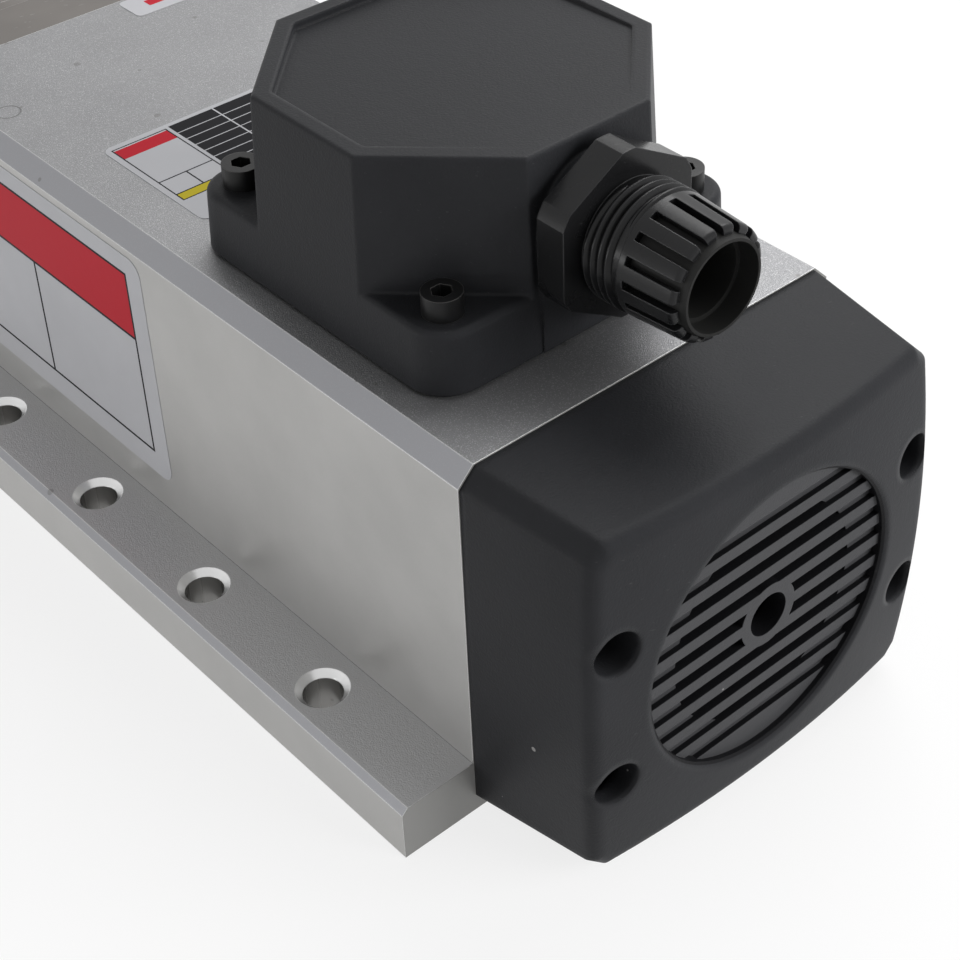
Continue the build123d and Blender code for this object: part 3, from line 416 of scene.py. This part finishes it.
# %% Gloss and relief of the body
rough = calc(tree, "MULTIPLY_ADD", facing_up, -0.05, 0.45)
rough = calc(tree, "SUBTRACT", rough, calc(tree, "MULTIPLY", bored, 0.2))
rough = calc(tree, "ADD", rough, calc(tree, "MULTIPLY", sawn, 0.1))
feed(tree, shader["Roughness"], rough)
ring_height = put(tree, "ShaderNodeTexNoise", {"noise_dimensions": "1D"}, Scale=6000.0, Detail=1.0)
feed(tree, ring_height.inputs["W"], from_hole)
smooth_share = calc(tree, "SUBTRACT", 1.0, bored)
height = calc(tree, "MULTIPLY", pits["Height"], smooth_share)
height = calc(tree, "MULTIPLY_ADD", calc(tree, "MULTIPLY", ring_height.outputs["Fac"], bored), 0.5, height)
saw_marks = put(tree, "ShaderNodeTexNoise", {"noise_dimensions": "1D"}, Scale=2400.0, Detail=2.0)
feed(tree, saw_marks.inputs["W"], calc(tree, "MULTIPLY_ADD", x, 0.25, z))
height = calc(tree, "MULTIPLY_ADD", calc(tree, "MULTIPLY", saw_marks.outputs["Fac"], sawn), 2.0, height)
depth = calc(tree, "MULTIPLY_ADD", facing_up, 0.00009, 0.000012)
feed(tree, shader["Normal"], bump(tree, height, depth, edges["Normal"]))
finishes["body_aluminium"] = body
print("finish:", body.name)

# %% [markdown]
# ** Black mouldings.** The fan cover and the terminal hood are glass-filled nylon from a spark-eroded mould:
# nearly black, with a fine even texture that turns their gloss into a soft sheen. Dust settles in it, and
# corners rub smooth; their edges also get a painted highlight. The cover's outer edges are rounded more than
# the hood's, and its grille has crisp slats with painted light on their faces and painted shade on their
# walls, so the rounding and the colour also depend on the place. The gland, the fan and the terminal board
# come from the same steps with other values.


# %% Black mouldings
painted_slat_wall_shade, painted_slat_face_light = (0.008, 0.008, 0.009), (0.047, 0.0473, 0.050)
painted_edge_highlight, scratch_grey, dust_grey = (0.10, 0.10, 0.105), (0.08, 0.08, 0.082), (0.42, 0.41, 0.40)


def moulded(name, dark, light, gloss, rough, texture, depth, dust, edge_light, edge_radius, grille=False):
    """A moulded plastic: two close colours, its gloss, its texture, and how much dust and rub it shows.

    With grille, it also gives the fan cover its wider rounding, and paints light on the faces of its slats
    and shade on their walls.
    """
    made, tree, shader = finish_of(name, Specular_IOR_Level=gloss)
    rounding = edge_radius
    if grille:
        x, y, z = axes(tree, place(tree))
        behind = calc(tree, "GREATER_THAN", y, cover_low.y)
        on_cover = calc(tree, "MULTIPLY", behind, calc(tree, "LESS_THAN", z, body_high.z))
        off_axis = distance(tree, x, calc(tree, "SUBTRACT", z, spindle_z))
        in_grille = calc(tree, "MULTIPLY", on_cover, calc(tree, "LESS_THAN", off_axis, grille_radius))
        rounding = calc(tree, "MULTIPLY_ADD", on_cover, edge_radius, edge_radius)
        rounding = calc(tree, "MULTIPLY", rounding, ramp(tree, in_grille, 0.0, 1.0, 1.0, 0.12))
        facing_back = ramp(tree, true_normal(tree)[1], 0.85, 0.95)
    edges = use(tree, soft_edges, Radius=rounding)
    pits = use(tree, grain, Scale=texture, Coarse=0.5)
    lint = use(tree, specks, Scale=160.0, Share=dust, Size=0.07)
    rubbed = use(tree, scratches, Turn=0.7, Share=0.16)
    colour = blend(tree, pits["Patches"], dark, light)
    if grille:
        # In the grille, slat faces that look back get painted light and the slat walls painted shade.
        colour = blend(tree, in_grille, colour, blend(tree, facing_back, painted_slat_wall_shade, painted_slat_face_light))
    # Edges are lightened by edge_light: a painted highlight.
    colour = blend(tree, calc(tree, "MULTIPLY", edges["Edge"], edge_light), colour, painted_edge_highlight)
    colour = blend(tree, calc(tree, "MULTIPLY", rubbed["Mask"], 0.3), colour, scratch_grey)
    colour = blend(tree, calc(tree, "MULTIPLY", lint["Mask"], 0.55), colour, dust_grey)
    feed(tree, shader["Base Color"], colour)
    sheen = calc(tree, "MULTIPLY_ADD", pits["Patches"], 0.07, rough - 0.035)
    sheen = calc(tree, "SUBTRACT", sheen, calc(tree, "MULTIPLY", edges["Edge"], 0.12))
    feed(tree, shader["Roughness"], sheen)
    feed(tree, shader["Normal"], bump(tree, pits["Height"], depth, edges["Normal"]))
    finishes[name] = made
    print("finish:", name)


print("moulding steps ready")

# %% [markdown]
# The mouldings differ in their values alone. The cover and the hood reflect the least, the gland is the
# smoothest, and the terminal board is brown phenolic.

# %% Moulded finishes
moulded(
    "black_moulding", (0.0190, 0.0195, 0.0215), (0.0238, 0.0244, 0.0268),
    gloss=0.09, rough=0.45, texture=1900.0, depth=0.00007, dust=0.03, edge_light=0.10, edge_radius=1.2 * MM,
    grille=True,
)
moulded(
    "gland_nylon", (0.0080, 0.0081, 0.0086), (0.0110, 0.0111, 0.0118),
    gloss=0.22, rough=0.27, texture=900.0, depth=0.00002, dust=0.02, edge_light=0.30, edge_radius=0.35 * MM,
)
moulded(
    "fan_nylon", (0.0090, 0.0090, 0.0095), (0.0140, 0.0140, 0.0150),
    gloss=0.2, rough=0.5, texture=1500.0, depth=0.00003, dust=0.03, edge_light=0.1, edge_radius=0.2 * MM,
)
moulded(
    "board_phenolic", (0.070, 0.026, 0.014), (0.105, 0.042, 0.022),
    gloss=0.3, rough=0.45, texture=1200.0, depth=0.00003, dust=0.02, edge_light=0.1, edge_radius=0.2 * MM,
)

# %% [markdown]
# **Rubber and silicone.** Seals and the leads' sleeves are soft and dull. A slightly higher roughness, no
# edge light and a broad, shallow unevenness set them apart from the mouldings.


# %% Rubber and silicone
def rubbery(name, dark, light, rough):
    """A dull soft material."""
    made, tree, shader = finish_of(name, Specular_IOR_Level=0.2)
    pits = use(tree, grain, Scale=1100.0, Coarse=0.8)
    lint = use(tree, specks, Scale=220.0, Share=0.05, Size=0.09)
    colour = blend(tree, pits["Patches"], dark, light)
    colour = blend(tree, calc(tree, "MULTIPLY", lint["Mask"], 0.4), colour, (0.3, 0.3, 0.29))
    feed(tree, shader["Base Color"], colour)
    feed(tree, shader["Roughness"], calc(tree, "MULTIPLY_ADD", pits["Patches"], 0.08, rough))
    edges = use(tree, soft_edges, Radius=0.2 * MM)
    feed(tree, shader["Normal"], bump(tree, pits["Height"], 0.00003, edges["Normal"]))
    finishes[name] = made
    print("finish:", name)


rubbery("seal_rubber", (0.009, 0.009, 0.009), (0.014, 0.014, 0.0135), 0.55)
rubbery("lead_silicone", (0.30, 0.035, 0.02), (0.36, 0.05, 0.03), 0.5)

# %% [markdown]
# **Turned and ground metals.** The shaft, its nuts, the nose and the bearings are round work from a lathe or
# a grinder. They share one recipe: a metal colour, lathe rings as bump, small scratches, and brighter edges
# where corners are broken. Each line below gives what differs: two colours, the roughness, and how fine and
# how deep the rings are. The collet nut's edges are worn more, by the spanner.


# %% Turned metals
def round_metal(name, dark, light, rough, ring_scale, ring_depth, worn=0.25):
    """A metal with turning marks around the spindle's axis."""
    made, tree, shader = finish_of(name, Metallic=1.0)
    edges = use(tree, soft_edges, Radius=0.25 * MM)
    pits = use(tree, grain, Scale=900.0, Coarse=0.4)
    marks = use(tree, turning, Scale=ring_scale)
    rubbed = use(tree, scratches, Turn=0.3, Share=0.2)
    colour = blend(tree, pits["Patches"], dark, light)
    colour = blend(tree, calc(tree, "MULTIPLY", edges["Edge"], worn), colour, (0.8, 0.79, 0.78))
    colour = blend(tree, calc(tree, "MULTIPLY", rubbed["Mask"], 0.25), colour, (0.75, 0.75, 0.75))
    feed(tree, shader["Base Color"], colour)
    feed(tree, shader["Roughness"], calc(tree, "MULTIPLY_ADD", pits["Patches"], 0.1, rough))
    feed(tree, shader["Normal"], bump(tree, marks["Height"], ring_depth, edges["Normal"]))
    finishes[name] = made
    print("finish:", name)


round_metal("ground_steel", (0.145, 0.134, 0.125), (0.175, 0.163, 0.152), 0.34, 5000.0, 0.000004)
round_metal("bearing_steel", (0.62, 0.62, 0.63), (0.68, 0.68, 0.69), 0.14, 7000.0, 0.000001)
round_metal("shaft_steel", (0.50, 0.50, 0.51), (0.58, 0.58, 0.59), 0.22, 6000.0, 0.000003)
round_metal("nut_steel", (0.20, 0.20, 0.205), (0.27, 0.27, 0.275), 0.28, 4500.0, 0.000005, 0.5)
round_metal("cage_brass", (0.66, 0.46, 0.18), (0.74, 0.53, 0.23), 0.3, 5000.0, 0.000003)
round_metal("lamination_steel", (0.20, 0.20, 0.21), (0.27, 0.27, 0.28), 0.45, 2000.0, 0.00003)
round_metal("cast_aluminium", (0.50, 0.50, 0.50), (0.60, 0.60, 0.595), 0.45, 3000.0, 0.00001)
round_metal("stud_brass", (0.60, 0.45, 0.22), (0.68, 0.52, 0.27), 0.25, 5000.0, 0.000003)

# %% [markdown]
# **Winding copper.** Enamelled wire is wound in layers, so the end turns show fine parallel ropes around the
# spindle's axis. A wave along the radius and the axis stands for them, under a clear coat of varnish.

# %% Winding copper
copper, tree, shader = finish_of("winding_copper", Metallic=1.0, Roughness=0.3)
shader["Coat Weight"].default_value = 0.6
shader["Coat Roughness"].default_value = 0.2
x, y, z = axes(tree, place(tree))
up = calc(tree, "SUBTRACT", z, spindle_z)
strand_wave = 7000.0
strands = calc(tree, "SINE", calc(tree, "MULTIPLY", calc(tree, "ADD", distance(tree, x, up), y), strand_wave))
tone = ramp(tree, strands, -1.0, 1.0)
# The colour follows the wave of the relief: darker in the valleys between turns, a painted shade.
feed(tree, shader["Base Color"], blend(tree, tone, (0.36, 0.13, 0.05), (0.62, 0.27, 0.12)))
feed(tree, shader["Normal"], bump(tree, tone, 0.0002))
finishes["winding_copper"] = copper
print("finish:", copper.name)

# %% [markdown]
# **Black oxide.** Cap screws are blackened in a hot salt bath. The coat is thin: it takes the steel's gloss,
# and rubs grey on the rim of the head, where the key slips.

# %% Black oxide
oxide, tree, shader = finish_of("black_oxide", Specular_IOR_Level=0.25)
edges = use(tree, soft_edges, Radius=0.3 * MM)
pits = use(tree, grain, Scale=1500.0, Coarse=0.6)
colour = blend(tree, pits["Patches"], (0.004, 0.004, 0.0042), (0.008, 0.008, 0.0083))
rub = calc(tree, "MULTIPLY", edges["Edge"], calc(tree, "MULTIPLY_ADD", pits["Patches"], 0.4, 0.12))
colour = blend(tree, rub, colour, (0.16, 0.155, 0.15))
feed(tree, shader["Base Color"], colour)
feed(tree, shader["Roughness"], calc(tree, "MULTIPLY_ADD", pits["Patches"], 0.14, 0.32))
feed(tree, shader["Normal"], bump(tree, pits["Height"], 0.00002, edges["Normal"]))
finishes["black_oxide"] = oxide
print("finish:", oxide.name)

# %% [markdown]
# ## Dressing the solids
# The record that came with the solids says which finish each one takes, by the name of its material slot.

# %% Dress the solids
for part in frame["record"]["subparts"]:
    mesh = nodes[part["node"]].data
    mesh.materials.clear()
    mesh.materials.append(finishes[part["material_slot"]])

# %% [markdown]
# ## Making pieces from mesh code
# The pieces below are built point by point with bmesh. One helper turns a bmesh into an object that rides on
# one of the spindle's bodies, and one shades it smooth.


# %% Piece helpers
def piece(name, shape, finish, body):
    """A bmesh as an object that rides on a body, with its finish."""
    bmesh.ops.recalc_face_normals(shape, faces=shape.faces)
    mesh = bpy.data.meshes.new(name)
    shape.to_mesh(mesh)
    shape.free()
    mesh.materials.append(finish)
    made = bpy.data.objects.new(name, mesh)
    bpy.context.scene.collection.objects.link(made)
    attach(made, body)
    print(name, "faces:", len(mesh.polygons))
    return made


def smooth(made, angle=40.0):
    """Smooth shading, apart from edges sharper than an angle in degrees."""
    made.data.shade_smooth()
    for edge in made.data.edges:
        edge.use_edge_sharp = False
    made.data.set_sharp_from_angle(angle=math.radians(angle))
    return made


print("piece helpers ready")

# %% [markdown]
# **Moulded thread.** The gland's end takes a sealing nut, and its coarse thread shows here because the nut is
# off. The solid has the thread's root as a plain cylinder. The thread is one ridge, swept as a helix, with
# its crest rounded by the mould, and it runs out into the root at both ends. Its profile is a list of points:
# a share of the pitch along the axis, and a share of the thread's height.

# %% Gland thread
thread_pitch = 1.95 * MM
thread_crest = 13.5 * MM
thread_root = 12.3 * MM
thread_start = 98.8 * MM
thread_end = 108.7 * MM
steps_per_turn = 96
run_out_steps = steps_per_turn / 5
half_base = 0.47
profile = [(-half_base, 0.0), (-0.16, 0.84), (-0.07, 0.98), (0.07, 0.98), (0.16, 0.84), (half_base, 0.0)]

turns = (thread_end - thread_start) / thread_pitch - 2 * half_base
count = round(turns * steps_per_turn)
shape = bmesh.new()
rings = []
for step in range(count + 1):
    angle = 2 * math.pi * step / steps_per_turn
    middle = thread_start + thread_pitch * (half_base + step / steps_per_turn)
    grown = min(1.0, step / run_out_steps, (count - step) / run_out_steps)
    ring = []
    for along, rise in profile:
        radius = thread_root + (thread_crest - thread_root) * rise * grown
        point = (radius * math.sin(angle), middle + along * thread_pitch, gland_z + radius * math.cos(angle))
        ring.append(shape.verts.new(point))
    rings.append(ring)
for first, second in zip(rings, rings[1:]):
    for n in range(len(profile)):
        after = (n + 1) % len(profile)
        shape.faces.new((first[n], first[after], second[after], second[n]))
shape.faces.new(rings[0])
shape.faces.new(list(reversed(rings[-1])))
smooth(piece("gland_thread", shape, finishes["gland_nylon"], "housing"))

# %% [markdown]
# **Stickers.** A printed sticker is a thin film with rounded corners. Film and print are one mesh: the print
# is a colour by place, in millimetres from the sticker's own middle, so its bands and lines stay sharp at
# any size. The stickers here hold plain bands and frames and no words.


# %% Sticker film
def sticker(name, middle, across, up, width, height, corner, finish):
    """A film lying on a face: across and up are its directions, and it stands 0.12 mm proud."""
    film = 0.12 * MM
    corner_steps = 8
    out = across.cross(up).normalized()
    shape = bmesh.new()
    rim = []
    for i, j, start in ((1, 1, 0), (-1, 1, 90), (-1, -1, 180), (1, -1, 270)):
        for step in range(corner_steps + 1):
            angle = math.radians(start + 90 * step / corner_steps)
            a = i * (width / 2 - corner) + corner * math.cos(angle)
            b = j * (height / 2 - corner) + corner * math.sin(angle)
            rim.append((a, b))
    lower = [shape.verts.new(middle + across * a + up * b) for a, b in rim]
    upper = [shape.verts.new(middle + across * a + up * b + out * film) for a, b in rim]
    shape.faces.new(upper)
    shape.faces.new(list(reversed(lower)))
    for n in range(len(rim)):
        after = (n + 1) % len(rim)
        shape.faces.new((lower[n], lower[after], upper[after], upper[n]))
    return piece(name, shape, finish, "housing")


print("sticker film ready")

# %% [markdown]
# The print is a stack of rectangles, each with its colour, laid over one another. A rectangle is a product of
# four comparisons, two across and two up. A frame is four thin rectangles.


# %% Rectangles of ink
PAPER = (0.505, 0.508, 0.530)
RED = (0.465, 0.020, 0.033)
BLACK = (0.010, 0.010, 0.012)
YELLOW = (0.50, 0.41, 0.03)


def between(tree, value, low, high):
    """1 where a value lies between two numbers, and 0 elsewhere."""
    above = calc(tree, "GREATER_THAN", value, low)
    return calc(tree, "MULTIPLY", above, calc(tree, "LESS_THAN", value, high))


def box_frame(left, right, low, high, line, ink):
    """Four thin rectangles that make a frame."""
    return [
        (left, right, low, low + line, ink),
        (left, right, high - line, high, ink),
        (left, left + line, low, high, ink),
        (right - line, right, low, high, ink),
    ]


print("rectangle helpers ready")

# %% [markdown]
# The finish measures each point from the sticker's middle along its two directions, and lays the rectangles
# over the paper in their order, so a later one covers an earlier one. Ink and film share one gloss, and both
# have a faint ripple from the face below.


# %% Sticker print
def printed(name, middle, across, up, boxes):
    """A finish with rectangles (left, right, low, high, colour), in millimetres from the middle."""
    made, tree, shader = finish_of(name, Roughness=0.45, Specular_IOR_Level=0.05)
    spot = place(tree)
    reach = []
    for direction in (across, up):
        dot = put(tree, "ShaderNodeVectorMath", {"operation": "DOT_PRODUCT"})
        feed(tree, dot.inputs[0], spot)
        dot.inputs[1].default_value = direction / MM
        reach.append(calc(tree, "SUBTRACT", dot.outputs["Value"], middle.dot(direction) / MM))
    pits = use(tree, grain, Scale=260.0, Coarse=0.6)
    colour = blend(tree, pits["Patches"], PAPER, tuple(0.93 * c for c in PAPER))
    for left, right, low, high, ink in boxes:
        across_box = between(tree, reach[0], left, right)
        up_box = between(tree, reach[1], low, high)
        colour = blend(tree, calc(tree, "MULTIPLY", across_box, up_box), colour, ink)
    feed(tree, shader["Base Color"], colour)
    feed(tree, shader["Normal"], bump(tree, pits["Height"], 0.00003))
    return made


print("sticker print ready")

# %% [markdown]
# The side sticker is the large one: a red band across its upper part, a frame, and two bare fields below. It
# lies on the flat side of the body, so its directions are simply +Y and +Z.

# %% Side sticker
side_middle = Vector((body_half_width, -49.8 * MM, 54.8 * MM))
side_across = Vector((0, 1, 0))
side_up = Vector((0, 0, 1))
side_boxes = [(-42.0, 42.0, 8.4, 26.2, RED), (-3.0, -2.2, -24.6, 8.4, BLACK)]
side_boxes += box_frame(-42.0, 42.0, -24.6, 26.2, 0.7, BLACK)
side_boxes += [(-42.0, 42.0, 7.7, 8.4, BLACK)]
side_print = printed("side_sticker_print", side_middle, side_across, side_up, side_boxes)
sticker(
    "side_sticker", side_middle, side_across, side_up,
    width=96.0 * MM, height=62.4 * MM, corner=4.0 * MM, finish=side_print,
)

# %% [markdown]
# The top sticker has a dark table of bare rows, and beside it a framed column with a red and a yellow field.
# It is read from behind the spindle, so its own across is -X and its own up is -Y. The table's lines are in
# paper colour, laid over two dark fields, which takes fewer rectangles than one for each of its cells.

# %% Top sticker
top_middle = Vector((0, -19.2 * MM, body_high.z))
top_across = Vector((-1, 0, 0))
top_up = Vector((0, -1, 0))
top_boxes = [(-18.0, 33.5, -6.0, 19.6, BLACK), (-18.0, 33.5, -18.5, -7.2, BLACK)]
row_levels = (-14.0, -3.0, 0.7, 4.4, 8.1, 11.8, 15.5)
top_boxes += [(-18.0, 33.5, level - 0.15, level + 0.15, PAPER) for level in row_levels]
top_boxes += [(-5.6, -5.2, -6.0, 19.6, PAPER), (14.0, 14.4, -6.0, 19.6, PAPER)]
top_boxes += [(-33.8, -19.0, 13.8, 18.4, RED), (-33.8, -19.0, -10.4, -7.4, YELLOW)]
top_boxes += box_frame(-34.0, -18.9, -10.6, 19.2, 0.35, BLACK)
top_boxes += [(-34.0, -18.9, -0.6, -0.2, BLACK), (-34.0, -18.9, -7.6, -7.2, BLACK)]
top_boxes += [(-26.6, -26.2, -7.4, -0.4, BLACK)]
top_print = printed("top_sticker_print", top_middle, top_across, top_up, top_boxes)
sticker(
    "top_sticker", top_middle, top_across, top_up,
    width=71.0 * MM, height=41.8 * MM, corner=2.5 * MM, finish=top_print,
)

# %% [markdown]
# The third sticker is a small strip near the nose, with one red band. It faces the same way as the top one.

# %% Nose end sticker
nose_middle = Vector((-27.0 * MM, -97.2 * MM, body_high.z))
nose_boxes = [(-12.6, 12.6, -1.6, 1.6, RED)]
nose_print = printed("nose_sticker_print", nose_middle, top_across, top_up, nose_boxes)
sticker(
    "nose_sticker", nose_middle, top_across, top_up,
    width=36.6 * MM, height=10.4 * MM, corner=1.5 * MM, finish=nose_print,
)

# %% [markdown]
# ## Light
# Plain studio light: a large soft panel above, a low one beside the feet and a third one behind the fan
# cover. The world adds an even fill. The third panel isn't mirrored, since from the nose side its image would
# lie on the top face and bleach it.


# %% Lamps
def panel(name, place_at, aim, width, depth, power):
    """A soft rectangular lamp that points at a place."""
    data = bpy.data.lights.new(name, "AREA")
    data.shape = "RECTANGLE"
    data.size, data.size_y = width, depth
    data.energy = power
    made = bpy.data.objects.new(name, data)
    made.location = place_at
    made.rotation_euler = (Vector(aim) - Vector(place_at)).to_track_quat("-Z", "Y").to_euler()
    bpy.context.scene.collection.objects.link(made)
    return made


middle = (0.0, 0.02, 0.06)
panel("overhead_panel", (-0.75, -0.25, 1.15), middle, width=0.9, depth=0.9, power=13.0)
panel("side_panel", (1.25, -0.35, 0.16), middle, width=0.9, depth=0.25, power=4.0)
rear = panel("rear_panel", (-0.7, 1.15, 0.55), middle, width=0.9, depth=0.8, power=19.0)
rear.visible_glossy = False
print("lamps: 3")

# %% [markdown]
# **Surround.** The white walls of a studio would also light the spindle from all sides. Here the world's
# strength depends on the kind of ray that meets it instead: white for the camera, for gloss and for glass,
# and a weaker fill for diffuse light, so the walls can be white without bleaching the metal.

# %% Surround
def seen_rays(tree):
    """1 for rays from the camera and for gloss and glass, and 0 for diffuse ones."""
    rays = put(tree, "ShaderNodeLightPath").outputs
    mirrored = calc(tree, "MAXIMUM", rays["Is Glossy Ray"], rays["Is Transmission Ray"])
    return calc(tree, "MAXIMUM", rays["Is Camera Ray"], mirrored)


WHITE = (1.0, 1.0, 1.0, 1.0)
world = bpy.data.worlds.new("surround")
world.use_nodes = True
bpy.context.scene.world = world
tree = world.node_tree
tree.nodes.clear()
seen = seen_rays(tree)
fill = put(tree, "ShaderNodeBackground", Color=WHITE, Strength=0.32)
white = put(tree, "ShaderNodeBackground", Color=WHITE, Strength=1.0)
either = put(tree, "ShaderNodeMixShader")
feed(tree, either.inputs[0], seen)
feed(tree, either.inputs[1], fill.outputs[0])
feed(tree, either.inputs[2], white.outputs[0])
surface = put(tree, "ShaderNodeOutputWorld")
feed(tree, surface.inputs["Surface"], either.outputs[0])
print("surround ready")

# %% [markdown]
# **Floor.** A plain pale floor catches the spindle's shadow. To the camera and to gloss most of it is a white
# that gives off its own colour, so it stays close to the white of the surround. It is a stage, and no piece
# of the spindle.

# %% Floor
floor_size = 6.0
shape = bmesh.new()
bmesh.ops.create_grid(shape, x_segments=2, y_segments=2, size=floor_size / 2)
floor_mesh = bpy.data.meshes.new("floor")
shape.to_mesh(floor_mesh)
shape.free()
floor = bpy.data.objects.new("floor", floor_mesh)
floor.location.z = -0.2 * MM
bpy.context.scene.collection.objects.link(floor)
pale, tree, shader = finish_of("pale_floor", Roughness=0.9, Specular_IOR_Level=0.1)
shader["Base Color"].default_value = (0.86, 0.86, 0.86, 1.0)
seen = seen_rays(tree)
glow = put(tree, "ShaderNodeEmission", Color=WHITE, Strength=1.0)
either = put(tree, "ShaderNodeMixShader")
feed(tree, either.inputs[0], calc(tree, "MULTIPLY", seen, 0.8))
feed(tree, either.inputs[1], tree.nodes["Principled BSDF"].outputs[0])
feed(tree, either.inputs[2], glow.outputs[0])
feed(tree, tree.nodes["Material Output"].inputs["Surface"], either.outputs[0])
floor_mesh.materials.append(pale)
print("floor ready")
